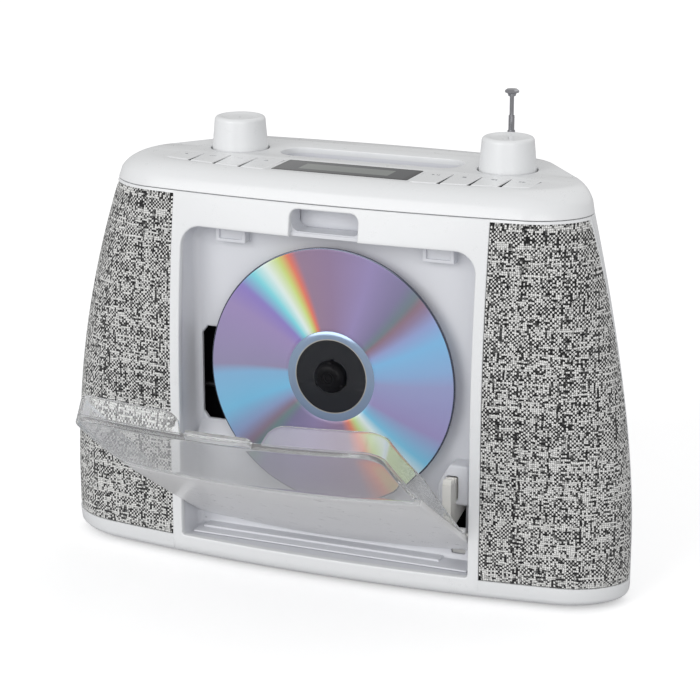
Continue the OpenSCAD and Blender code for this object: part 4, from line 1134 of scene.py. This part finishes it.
class PLAYER_OT_cap(bpy.types.Operator):
    """Top cap: the shoulder and the deck with its openings"""
    bl_idname = "player.cap"
    bl_label = "Top cap"

    def execute(self, context):
        r = 0.45
        bank = (KEYS[0][0] - 0.35, KEYS[-1][1] + 0.35)
        holes = []
        for sign in (1, -1):
            loop = key_outline(bank[0], bank[1], 0.0, 1.0)
            loop = loop if sign > 0 else (loop * [-1, 1])[::-1]
            holes.append(dense(grown(loop, 0.3), 3))
            holes.append(circle(sign * KNOB_MID[0], KNOB_MID[1], KNOB_R + 0.8, 64))
        holes.append(dense(lcd_outline(0.1, 0.6), 4))
        holes.append(dense(slot_outline(0), 3))
        holes.append(circle(AERIAL[0], AERIAL[1], 3.3, 32))
        rims = [cap_rows()] + [rim(np.array(h)[::-1], DECK_LOW, DECK_Z, r) for h in holes]
        mesh_object("top_cap_finish", capped(rims), white_gloss(), "housing", "top_cap", 25)
        self.lip()
        return {"FINISHED"}

    def lip(self):
        """Aerial's grommet: a turned ring with a rounded crown."""
        profile = [(3.06, -2), (3.06, 0.5), (3.4, 0.8), (4.2, 0.8), (4.8, 0.45), (4.9, 0.02),
                   (4.9, -0.4), (3.5, -2)]
        rings = lathe(profile, 48) + [AERIAL[0], AERIAL[1], DECK_Z]
        mesh_object("aerial_grommet", tube(rings, wrap=True), black_plastic(), "housing", ())


def circle(x, y, r, n):
    a = np.linspace(0, 2 * np.pi, n, endpoint=False)
    return np.stack([x + r * np.cos(a), y + r * np.sin(a)], -1)


def grown(loop, d):
    """A closed anticlockwise loop pushed outwards by d."""
    return np.asarray(loop) + side_way(np.asarray(loop, float)) * d


def lcd_outline(d, r):
    """Display window in plan, grown by d."""
    return rounded_rect(LCD[0][0] - d, LCD[1][0] + d, LCD[0][1] - d, LCD[1][1] + d, r)


def slot_outline(d):
    """Handle slot in plan: a stadium along the deck, grown by d."""
    return rounded_rect(-45 - d, 45 + d, 4.5 - d, 24.5 + d, 9.9 + d, 14)


KEYS = []
for _k in range(4):
    _low, _high = node_box(f"key_right_{_k + 1}")
    KEYS.append((_low[0], _high[0]))
KNOB_MID = (KNOB[0] + KNOB[1]) / 2
KNOB_R = (KNOB[1][0] - KNOB[0][0]) / 2
AERIAL = (sum(node_box("aerial_tube")) / 2)[:2]


def mark_shapes(kind):
    """Generic transport marks as outlines about the middle, in millimetres."""
    box = lambda x0, x1, y0, y1: np.array([[x0, y0], [x1, y0], [x1, y1], [x0, y1]])

    def play(x, way=1):
        return np.array([[x - way * .8, -1.0], [x + way * .8, 0], [x - way * .8, 1.0]])[::way]
    marks = {"play": [play(-0.9), box(0.6, 1.0, -1, 1), box(1.5, 1.9, -1, 1)],
             "stop": [box(-0.9, 0.9, -0.9, 0.9)],
             "back": [play(-0.6, -1), play(0.9, -1)],
             "next": [play(-0.9), play(0.6)],
             "dot": [circle(0, 0, 0.7, 16)],
             "bars": [box(-1.6, 1.6, 0.4, 0.75), box(-1.6, 1.6, -0.75, -0.4)],
             "dash": [box(-1.5, 1.5, -0.2, 0.2)],
             "up": [np.array([[-1.1, -0.2], [1.1, -0.2], [0, 1.0]]), box(-1.1, 1.1, -1.0, -0.6)]}
    return marks[kind]


class PLAYER_OT_keys(bpy.types.Operator):
    """Eight deck keys with soft edges and generic printed marks; their sides below the top are painted
    near-black as shade in the gaps between keys
    """
    bl_idname = "player.keys"
    bl_label = "Deck keys"

    def execute(self, context):
        kinds = {"right": ["play", "stop", "back", "next"], "left": ["dot", "bars", "dash", "up"]}
        for side, sign in (("right", 1), ("left", -1)):
            for k in range(4):
                name = f"key_{side}_{k + 1}"
                low, high = node_box(name)
                mirror = sign < 0
                x0, x1 = (-high[0], -low[0]) if mirror else (low[0], high[0])
                loop = key_outline(x0, x1, 0.0, 1.0)
                if mirror:
                    loop = (loop * [-1, 1])[::-1]
                cap = capped([rim(dense(loop, 3), DECK_LOW - 0.8, KEY_TOP, 0.55, 0, 6)])
                middle = np.array([(low[0] + high[0]) / 2, -11.5])
                printed = [capped([rim(m + middle, KEY_TOP - 0.2, KEY_TOP + 0.03, 0.0, 0, 2)])
                           for m in mark_shapes(kinds[side][k])]
                part = join(cap, *printed)
                # faces more than 0.6 below the key top take the third finish, painted shade down the gaps
                # between keys
                mesh_object(name + "_cap", part, [white_gloss(), marks_grey(), gap_shade_and_panel_dark()],
                            f"press_{side}_{k + 1}", name, 35,
                            pick=lambda mid: (mid[:, 2] > KEY_TOP + 0.01) + 2 * (mid[:, 2] < KEY_TOP - 0.6))
        return {"FINISHED"}


class PLAYER_OT_display(bpy.types.Operator):
    """Display window set in the deck"""
    bl_idname = "player.display"
    bl_label = "Display window"

    def execute(self, context):
        loop = dense(lcd_outline(-0.1, 0.5), 4)
        part = capped([rim(loop, DECK_Z - 1.2, DECK_Z - 0.05, 0.25)])
        mesh_object("lcd_window_glass", part, display_finish(), "housing", "lcd_window")
        return {"FINISHED"}


class PLAYER_OT_knobs(bpy.types.Operator):
    """Volume and tuning knobs: turned, slightly tapered, with a dished top"""
    bl_idname = "player.knobs"
    bl_label = "Knobs"

    def execute(self, context):
        top = KNOB[1][2]
        neck, r = KNOB_R - 1.1, 1.9
        foot, bore, socket = DECK_LOW - 0.6, 3.05, top - 5.9
        profile = [(bore, foot), (KNOB_R - 0.3, foot), (KNOB_R, DECK_LOW), (KNOB_R, DECK_Z + 0.5)]
        for a in np.radians(np.linspace(0, 90, 9)):
            profile.append((neck - r + r * math.cos(a), top - r + r * math.sin(a)))
        for t in np.linspace(0, 1, 12):
            profile.append((neck - 2.8 - 9.2 * t, top - 0.1 - 0.75 * math.sin(math.pi / 2 * min(1, t * 2.2))))
        profile += [(0.02, top - 0.85), (0.02, socket), (bore, socket)]
        for name, sign, body in (("volume_knob", -1, "volume"), ("tuning_knob", 1, "tuning")):
            rings = lathe(profile, 128)
            # a small pointer dimple near the rim
            gap = np.hypot(rings[..., 0], rings[..., 1] + 8.2)
            rings[..., 2] -= np.where(rings[..., 2] > top - 2, 0.45 * np.exp(-(gap / 0.9) ** 2), 0)
            part = tube(rings + [sign * KNOB_MID[0], KNOB_MID[1], 0], wrap=True)
            mesh_object(name + "_turned", part, white_gloss(), body, name, 35)
        return {"FINISHED"}


class PLAYER_OT_feet(bpy.types.Operator):
    """Rubber feet with a rounded edge and a ring groove"""
    bl_idname = "player.feet"
    bl_label = "Rubber feet"

    def execute(self, context):
        top = FOOT + 0.6
        profile = [(0.05, 0.25), (3.2, 0.25), (3.5, 0.0), (6.0, 0.0), (6.7, 0.25), (7.0, 0.8),
                   (7.0, top), (0.05, top)]
        places = ((108, -24), (-108, -24), (80, 30), (-80, 30))
        parts = [tube(lathe(profile, 48) + [x, y, 0]) for x, y in places]
        mesh_object("rubber_feet_turned", join(*parts), rubber(), "housing", "rubber_feet")
        return {"FINISHED"}


# --- Disc well and drive -------------------------------------------------------------------------
DISC_GAP = 6
WELL_BACK = DISC[1][1] + DISC_GAP
WELL_T = 1.6
CATCH_D, CATCH_FLOOR = 5.2, 4.0


def facing(part, y):
    """Turns a plate drawn in plan to stand with its top side facing the front at depth y."""
    def move(p):
        return np.stack([p[:, 0], y - p[:, 2], p[:, 1]], -1)
    return move(np.asarray(part[0], float)), part[1]


def well_loop(d):
    """Outline of the well in the door's plane, anticlockwise, with rounded corners."""
    r = shape().opening_corner / MM
    loop = rounded_rect(-OPEN_X - d, OPEN_X + d, OPEN_Z0 - 0.6 - d, OPEN_Z1 + d, [1.5, 1.5, r + d, r + d], 14)
    return dense(loop, 4)


def well_wall():
    """Wall of the well: the outline swept from behind the front shell to the back, with a fillet at
    the back, and doubled by an outer wall."""
    base = well_loop(0)
    rows, r = [], 3.0
    face = form().face(base[:, 0], base[:, 1]) + 3.0
    for t in np.linspace(0, 1, 6):
        rows.append(np.column_stack([base[:, 0], face + (WELL_BACK - r - face) * t, base[:, 1]]))
    way = side_way(base)
    for a in np.linspace(0, np.pi / 2, 7)[1:]:
        inner = base - way * r * (1 - math.cos(a))
        depth = np.full(len(base), WELL_BACK - r + r * math.sin(a))
        rows.append(np.column_stack([inner[:, 0], depth, inner[:, 1]]))
    back = base + way * WELL_T
    behind = np.full(len(base), WELL_BACK + WELL_T)
    rows.append(np.column_stack([rows[-1][:, 0], behind, rows[-1][:, 2]]))
    rows.append(np.column_stack([back[:, 0], behind, back[:, 1]]))
    rows.append(np.column_stack([back[:, 0], face, back[:, 1]]))
    return tube(np.array(rows), wrap=True)


def window_loop(d):
    """Laser window: a long opening to the left of the hub with two cut corners."""
    z = DISC_MID[2]
    right, left, cut = -20.5, -65.5, -69.0
    loop = np.array([[left, z - 30], [right, z - 30], [right, z + 15], [left, z + 15],
                     [cut, z + 10.5], [cut, z - 25.5]])
    return dense(grown(loop, d), 4)


def well_back():
    """Back of the well with the laser window, the hub's hole and the door sector's slot, each with a
    rounded edge, inside the fillet of the wall."""
    outline = well_loop(-2.9)
    hub = circle(0, DISC_MID[2], 18.2, 64)
    slot = rounded_rect(56.6, 63.4, 15.0, 57.5, 1.0, 5)
    rims = [rim(outline, -WELL_T, 0, 0, 0)]
    for hole, r in ((hub, 0.5), (window_loop(0), 1.0), (dense(slot, 3), 0.5)):
        rims.append(rim(hole[::-1], -WELL_T, 0, r, 0))
    return facing(capped(rims), WELL_BACK)


def finger_pocket():
    """White pocket behind the front shell's finger notch: four walls and a back."""
    y0, y1 = form().face(0, 167) + 3.0, form().face(0, 167) + 13.0
    outer = rounded_rect(-NOTCH_X - 1.6, NOTCH_X + 1.6, OPEN_Z1 + 0.2, NOTCH_Z + 1.5, 4.5, 8)
    inner = rounded_rect(-NOTCH_X, NOTCH_X, OPEN_Z1 + 2.0, NOTCH_Z, 3.5, 8)
    walls = facing(capped([rim(outer, y0 - y1, 0, 0, 0, 2), rim(inner[::-1], y0 - y1, 0, 0.01, 0, 2)]), y0)
    half = NOTCH_X + 1.6
    return join(walls, block(-half, half, y1 - 0.5, y1 + 1.2, OPEN_Z1 + 0.2, NOTCH_Z + 1.5, 4))


def block(x0, x1, y0, y1, z0, z1, r=0.6):
    """Rounded block between two corners, standing to the front."""
    loop = rounded_rect(x0, x1, z0, z1, min(r, (x1 - x0) / 2.2, (z1 - z0) / 2.2), 5)
    return facing(capped([rim(loop, y0 - y1, 0, r, 0, 5)]), y0)


def catch(x0, x1):
    """Door catch hanging from the well's ceiling: a frame round a shallow recess."""
    z0, z1 = OPEN_Z1 - 8.4, OPEN_Z1 - 0.6
    outer = rounded_rect(x0 - 1, x1 + 1, z0, z1, 0.8, 5)
    inner = rounded_rect(x0 + 0.8, x1 - 0.8, z0 + 1.6, z1 - 1.1, 0.4, 4)
    frame_part = capped([rim(outer, -CATCH_D, 0, 0.5, 0), rim(inner[::-1], -CATCH_D, 0, 0.3, 0)])
    floor = block(x0 + 0.3, x1 - 0.3, WELL_BACK - CATCH_FLOOR, WELL_BACK, z0 + 1, z1 - 0.6)
    return join(facing(frame_part, WELL_BACK - CATCH_D), floor)


def damper_house():
    """Raised housing of the door's damper: a block with a slanted shoulder to the left and a slot for
    the sector's teeth."""
    z0, top = HINGE[2] + 11.0, HINGE[2] + 30.0
    body = np.vstack([arc(54.6, z0 + 1.5, 1.5, 180, 270, 5), arc(66.4, z0 + 1.5, 1.5, 270, 360, 5),
                      arc(65.4, top - 2.5, 2.5, 0, 90, 7), arc(60.2, top - 3.0, 3.0, 90, 135, 6),
                      arc(55.1, top - 10.5, 2.0, 135, 180, 4)])
    slot = rounded_rect(57.4, 62.8, z0 + 2.2, top - 5.5, 0.8, 5)
    y0 = WELL_BACK - 9.5
    return facing(capped([rim(dense(body, 2), y0 - WELL_BACK, 0, 1.3, 0, 6),
                          rim(dense(slot, 2)[::-1], y0 - WELL_BACK, 0, 0.5, 0, 4)]), y0)


def ledges():
    """Thin steps of the well's floor and the sloped ledge below the laser window."""
    z = DISC_MID[2]
    floor = block(-68.5, 68.5, -39.5, WELL_BACK, OPEN_Z0 - 0.4, OPEN_Z0 + 0.5, 0.4)
    step = block(-66.0, 53.0, -33.5, WELL_BACK, OPEN_Z0 + 0.2, OPEN_Z0 + 1.4, 0.5)
    slope = np.array([[0, 0], [0, -8.0], [-5.5, -8.0]])
    part = capped([rim(dense(slope, 2), -69.4, -50, 0.2, 0.2)])
    p = part[0]
    side = (np.stack([p[:, 2], WELL_BACK + p[:, 0], z - 30.6 + p[:, 1]], -1), part[1])
    return join(floor, step, side)


class PLAYER_OT_well(bpy.types.Operator):
    """Disc well: walls, flat back, laser window, catches, damper housing and floor steps"""
    bl_idname = "player.well"
    bl_label = "Disc well"

    def execute(self, context):
        part = join(well_wall(), well_back(), catch(-57, -44), catch(44, 57), damper_house(), ledges(),
                    finger_pocket())
        mesh_object("cd_well_finish", part, recess_shade_white(), "housing", "cd_well", 30)
        return {"FINISHED"}


class PLAYER_OT_disc(bpy.types.Operator):
    """Compact disc: a turned plate with a stacking ring, mirror band and rounded rim"""
    bl_idname = "player.disc"
    bl_label = "Disc"

    def execute(self, context):
        t = DISC[1][1] - DISC[0][1]
        front = [(7.5, 0.12), (7.62, 0.0), (16.6, 0), (17.0, -0.18), (17.5, -0.18), (17.9, 0),
                 (20.9, 0), (21.1, 0.1), (21.4, 0.1), (21.6, 0), (23.0, 0),
                 (58.4, 0), (59.4, 0), (59.8, 0.12), (DISC_R, 0.4)]
        back = [(DISC_R, t - 0.3), (59.8, t), (17, t), (7.62, t), (7.5, t - 0.12)]
        rings = lathe(front + back, 192)
        depth = DISC[0][1] + np.maximum(rings[..., 2], 0)
        points = np.stack([rings[..., 0], depth, DISC_MID[2] + rings[..., 1]], -1)
        mesh_object("disc_painted_rainbow", tube(points, wrap=True), disc_finish(), "spindle", "disc",
                    30)
        return {"FINISHED"}


class PLAYER_OT_hub(bpy.types.Operator):
    """Turntable hub: a turned black platter and cone with three spring balls"""
    bl_idname = "player.hub"
    bl_label = "Turntable"

    def execute(self, context):
        y0 = DISC[0][1]
        back = PLATTER[1][1] - y0
        profile = [(0.02, -4.0), (1.4, -4.0), (1.7, -3.7), (2.6, -3.7), (2.9, -4.0), (5.0, -4.0),
                   (5.9, -3.6), (7.2, -1.9), (7.35, -1.3), (7.35, 1.25), (16.0, 1.25), (16.5, 1.6),
                   (16.5, 3.0), (1.1, 3.2), (1.1, back), (0.02, back)]
        rings = lathe(profile, 96)
        hub = tube(np.stack([rings[..., 0], y0 + rings[..., 2], DISC_MID[2] + rings[..., 1]], -1))
        balls = []
        ball_r, ring_r = 1.25, 6.75
        turned = np.linspace(0.001, math.pi - 0.001, 12)
        ball = lathe([(ball_r * math.sin(a), -ball_r * math.cos(a)) for a in turned], 20)
        for angle in (90, 210, 330):
            cx, cz = ring_r * math.cos(math.radians(angle)), ring_r * math.sin(math.radians(angle))
            middle = np.array([cx, y0 - 1.5, cz + DISC_MID[2]])
            balls.append(tube(ball + middle))
        part = join(hub, *balls)
        mesh_object("turntable_hub", part, black_plastic(), "spindle", "turntable", 35)
        return {"FINISHED"}


# --- Door ----------------------------------------------------------------------------------------
DOOR_X = 70.2
DOOR_Z0, DOOR_MID, DOOR_Z1 = 13.6, 101.0, 159.7
DOOR_T, RIM_D = 3.0, 8.5


def opened(part):
    """Turns a piece drawn on the closed door about the hinge to the open rest position."""
    angle = math.radians(DOOR_OPEN)
    p = np.array(part[0], float) - HINGE
    y = p[:, 1] * math.cos(angle) - p[:, 2] * math.sin(angle)
    z = p[:, 1] * math.sin(angle) + p[:, 2] * math.cos(angle)
    return np.stack([p[:, 0], y + HINGE[1], z + HINGE[2]], -1), part[1]


def pad(loop, depth0, depth1, r, centre, rows=12):
    """Curved plate on the front's form: rings shrink from the loop to its centre on both faces, and
    the edge is rounded by r on both sides."""
    loop = dense(np.asarray(loop, float), 3)
    way = side_way(loop)
    shares = np.linspace(0.02, 1, rows)
    rings = []
    inner = loop - way * r
    for s in shares:
        rings.append(on_front(centre + (inner - centre) * s, depth0))
    for a in np.linspace(0, np.pi / 2, 5)[1:]:
        rings.append(on_front(inner + way * r * math.sin(a), depth0 + r * (1 - math.cos(a))))
    for a in np.linspace(0, np.pi / 2, 5):
        rings.append(on_front(inner + way * r * math.cos(a), depth1 - r * (1 - math.sin(a))))
    for s in shares[::-1][1:]:
        rings.append(on_front(centre + (inner - centre) * s, depth1))
    return tube(np.array(rings))


def window_rim(side):
    """Clear rim behind the window: a wall carried along the outline from the white panel, up the
    side, round the corner and along the top, that sinks to the window near the finger tab."""
    r = shape().opening_corner / MM - 1
    x = DOOR_X
    low = DOOR_MID - 62
    path = np.vstack([np.column_stack([np.full(60, x), np.linspace(low, DOOR_Z1 - r, 60)])[:-1],
                      arc(x - r, DOOR_Z1 - r, r, 0, 90, 14),
                      np.column_stack([np.linspace(x - r, 18.6, 26), np.full(26, DOOR_Z1)])[1:]])
    step = np.gradient(path, axis=0)
    step /= np.linalg.norm(step, axis=1, keepdims=True)
    inward = np.stack([-step[:, 1], step[:, 0]], -1)
    run = run_along(path)
    to_end = (run[-1] - run) / 9
    height = RIM_D * np.clip(np.sqrt(1 - (1 - np.clip(to_end, 0, 1)) ** 2), 0.02, 1)
    height *= np.clip((path[:, 1] - low) / (DOOR_MID - low), 0.02, 1)
    wall, e = 2.0, 0.45
    cross = [(0, -0.3, 0), (0, 0, 1 - e / 5), (e * 0.3, 0, 1 - e * 0.1), (e, 0, 1), (wall - e, 0, 1),
             (wall - e * 0.3, 0, 1 - e * 0.1), (wall, 0, 1 - e / 5), (wall, -0.3, 0)]
    rings = []
    for inset, sink, share in cross:
        rings.append(on_front(path + inward * inset, DOOR_T + sink + height * share))
    rings = np.array(rings).transpose(1, 0, 2)
    part = tube(rings)
    return part if side > 0 else mirrored(part)


def door_hinge_ear(side):
    """Ear that carries a hinge pin: a round eye with a web that runs into the door's back."""
    x0, x1 = DOOR_X - 4.2, DOOR_X - 0.8
    y_face = form().face(68, HINGE[2]) + DOOR_T - 0.6
    eye = arc(HINGE[1], HINGE[2], 3.2, -80, 80, 14)
    loop = np.vstack([[[y_face, HINGE[2] - 3.4]], eye, [[y_face, HINGE[2] + 9.0]]])
    part = capped([rim(dense(loop, 2), 0, x1 - x0, 0.4, 0.4)])
    p = part[0]
    part = (np.stack([p[:, 2] + x0, p[:, 0], p[:, 1]], -1), part[1])
    return part if side > 0 else mirrored(part)


class PLAYER_OT_door(bpy.types.Operator):
    """Door: the white lower panel with its hinge ears, and the clear window with its rim and tab"""
    bl_idname = "player.door"
    bl_label = "Door"

    def execute(self, context):
        loop = rounded_rect(-DOOR_X, DOOR_X, DOOR_Z0, DOOR_MID, 0.8, 4)
        panel = pad(loop, 0, DOOR_T, 0.9, np.array([0, 60.0]), 16)
        part = join(panel, door_hinge_ear(1), door_hinge_ear(-1))
        mesh_object("door_panel_finish", opened(part), door_white(), "door", "door_panel",
                    35)
        r = shape().opening_corner / MM - 1
        loop = rounded_rect(-DOOR_X, DOOR_X, DOOR_MID + 0.05, DOOR_Z1, [0.6, 0.6, r, r], 10)
        window = pad(loop, 0, DOOR_T, 0.5, np.array([0, 130.0]), 14)
        tab = rounded_rect(-15, 15, DOOR_Z1 - 0.3, DOOR_Z1 + 4.8, [0.5, 0.5, 3.0, 3.0], 8)
        tab = pad(tab, 0.4, DOOR_T, 0.4, np.array([0, DOOR_Z1 + 2.0]), 5)
        part = join(window, window_rim(1), window_rim(-1), tab)
        mesh_object("door_window_clear", opened(part), clear_finish(), "door", "door_window",
                    35)
        return {"FINISHED"}


class PLAYER_OT_carried(bpy.types.Operator):
    """Finishes for the frame's own parts that keep their shape"""
    bl_idname = "player.carried"
    bl_label = "Carried-over parts"

    def execute(self, context):
        groups = {
            black_plastic: ("grille_panel_left", "grille_panel_right", "tact_switches", "volume_encoder",
                            "tuning_encoder", "speaker_baskets", "mains_inlet", "audio_socket", "battery_box",
                            "mech_chassis", "damper_body", "laser_sled"),
            steel: ("volume_shaft", "tuning_shaft", "speaker_magnets", "battery_contacts", "case_screws",
                    "spindle_motor", "sled_motor", "door_pins"),
            # the sled rails get the darkened steel, painted shade of the dark inside
            rail_shade_steel: ("sled_rails",),
            chrome: ("aerial_tube", "aerial_section_1", "aerial_section_2", "aerial_section_3",
                     "aerial_section_4", "aerial_rod"),
            board: ("control_board", "main_board"), cone_paper: ("speaker_cones",),
            winding: ("transformer",), gear_cream: ("sled_gear", "damper_pinion", "door_sector"),
            recess_shade_white: ("handle_liner",), gap_shade_and_panel_dark: ("lcd_panel",)}
        for finish_of, names in groups.items():
            for name in names:
                node = frame["nodes"][name]
                node.data.materials.clear()
                node.data.materials.append(finish_of())
        return {"FINISHED"}


# --- Stage ---------------------------------------------------------------------------------------
# Metres here. Each lamp has its direction, strength and spread in degrees. The world's light is a
# little brighter where the camera sees it.
FLOOR_REACH = 80
LAMPS = (("key", (-0.35, -0.85, 0.32), 1.1, 40), ("side", (0.5, -0.85, 0.28), 0.68, 40),
         ("rim", (0.3, 0.9, 0.8), 0.35, 60))
WORLD, WORLD_SEEN = 0.58, 0.45
LENS, SENSOR = 118.14, 36
EYE, AIM = (0.39029, -0.95289, 0.40148), (-0.0016, -0.0075, 0.100)


class PLAYER_OT_stage(bpy.types.Operator):
    """Pale floor, soft lights and the camera"""
    bl_idname = "player.stage"
    bl_label = "Stage"

    def execute(self, context):
        mesh = bpy.data.meshes.new("floor")
        corners = [(x * FLOOR_REACH, y * FLOOR_REACH, 0) for x, y in ((-1, -1), (1, -1), (1, 1), (-1, 1))]
        mesh.from_pydata(corners, [], [(0, 1, 2, 3)])
        mesh.materials.append(floor_finish())
        floor = bpy.data.objects.new("floor", mesh)
        bpy.context.scene.collection.objects.link(floor)
        world = bpy.data.worlds.new("studio")
        bpy.context.scene.world = world
        world.use_nodes = True
        world.node_tree.nodes["Background"].inputs[0].default_value = (1.0, 1.0, 1.0, 1)
        net = Net(world.node_tree)
        seen = net.add("ShaderNodeLightPath").outputs["Is Camera Ray"]
        net.put(world.node_tree.nodes["Background"].inputs[1], net.fit(seen, WORLD_SEEN, WORLD))
        for name, place, power, spread in LAMPS:
            lamp = bpy.data.lights.new(name, "SUN")
            lamp.energy, lamp.angle = power, math.radians(spread)
            thing = bpy.data.objects.new(name, lamp)
            thing.location = place
            thing.rotation_euler = (-Vector(place)).to_track_quat("-Z", "Y").to_euler()
            bpy.context.scene.collection.objects.link(thing)
        bpy.context.scene.view_settings.view_transform = "Standard"
        camera = bpy.data.cameras.new("camera")
        camera.lens, camera.sensor_width = LENS, SENSOR
        eye = bpy.data.objects.new("camera", camera)
        eye.location = EYE
        aim = Vector(AIM)
        eye.rotation_euler = (aim - eye.location).to_track_quat("-Z", "Y").to_euler()
        bpy.context.scene.collection.objects.link(eye)
        bpy.context.scene.camera = eye
        return {"FINISHED"}


class PLAYER_PT_panel(bpy.types.Panel):
    """Sizes, colours and building steps of the player"""
    bl_label = "Portable disc player"
    bl_idname = "PLAYER_PT_panel"
    bl_space_type = "VIEW_3D"
    bl_region_type = "UI"
    bl_category = "Player"

    def draw(self, context):
        for group in (context.scene.player_shape, context.scene.player_finish):
            box = self.layout.box()
            for name in group.__annotations__:
                box.prop(group, name)
        for step in STEPS:
            self.layout.operator(step.bl_idname)


STEPS = (PLAYER_OT_stage, PLAYER_OT_front, PLAYER_OT_cloth, PLAYER_OT_rear, PLAYER_OT_cap, PLAYER_OT_keys,
         PLAYER_OT_display, PLAYER_OT_knobs, PLAYER_OT_feet, PLAYER_OT_well, PLAYER_OT_disc, PLAYER_OT_hub,
         PLAYER_OT_door, PLAYER_OT_carried)
CLASSES = (PlayerShape, PlayerFinish, *STEPS, PLAYER_PT_panel)


def register():
    for cls in CLASSES:
        bpy.utils.register_class(cls)
    bpy.types.Scene.player_shape = bpy.props.PointerProperty(type=PlayerShape)
    bpy.types.Scene.player_finish = bpy.props.PointerProperty(type=PlayerFinish)


def unregister():
    del bpy.types.Scene.player_finish
    del bpy.types.Scene.player_shape
    for cls in reversed(CLASSES):
        bpy.utils.unregister_class(cls)


def main():
    register()
    for step in STEPS:
        group, name = step.bl_idname.split(".")
        getattr(getattr(bpy.ops, group), name)()


if __name__ == "__main__":
    main()
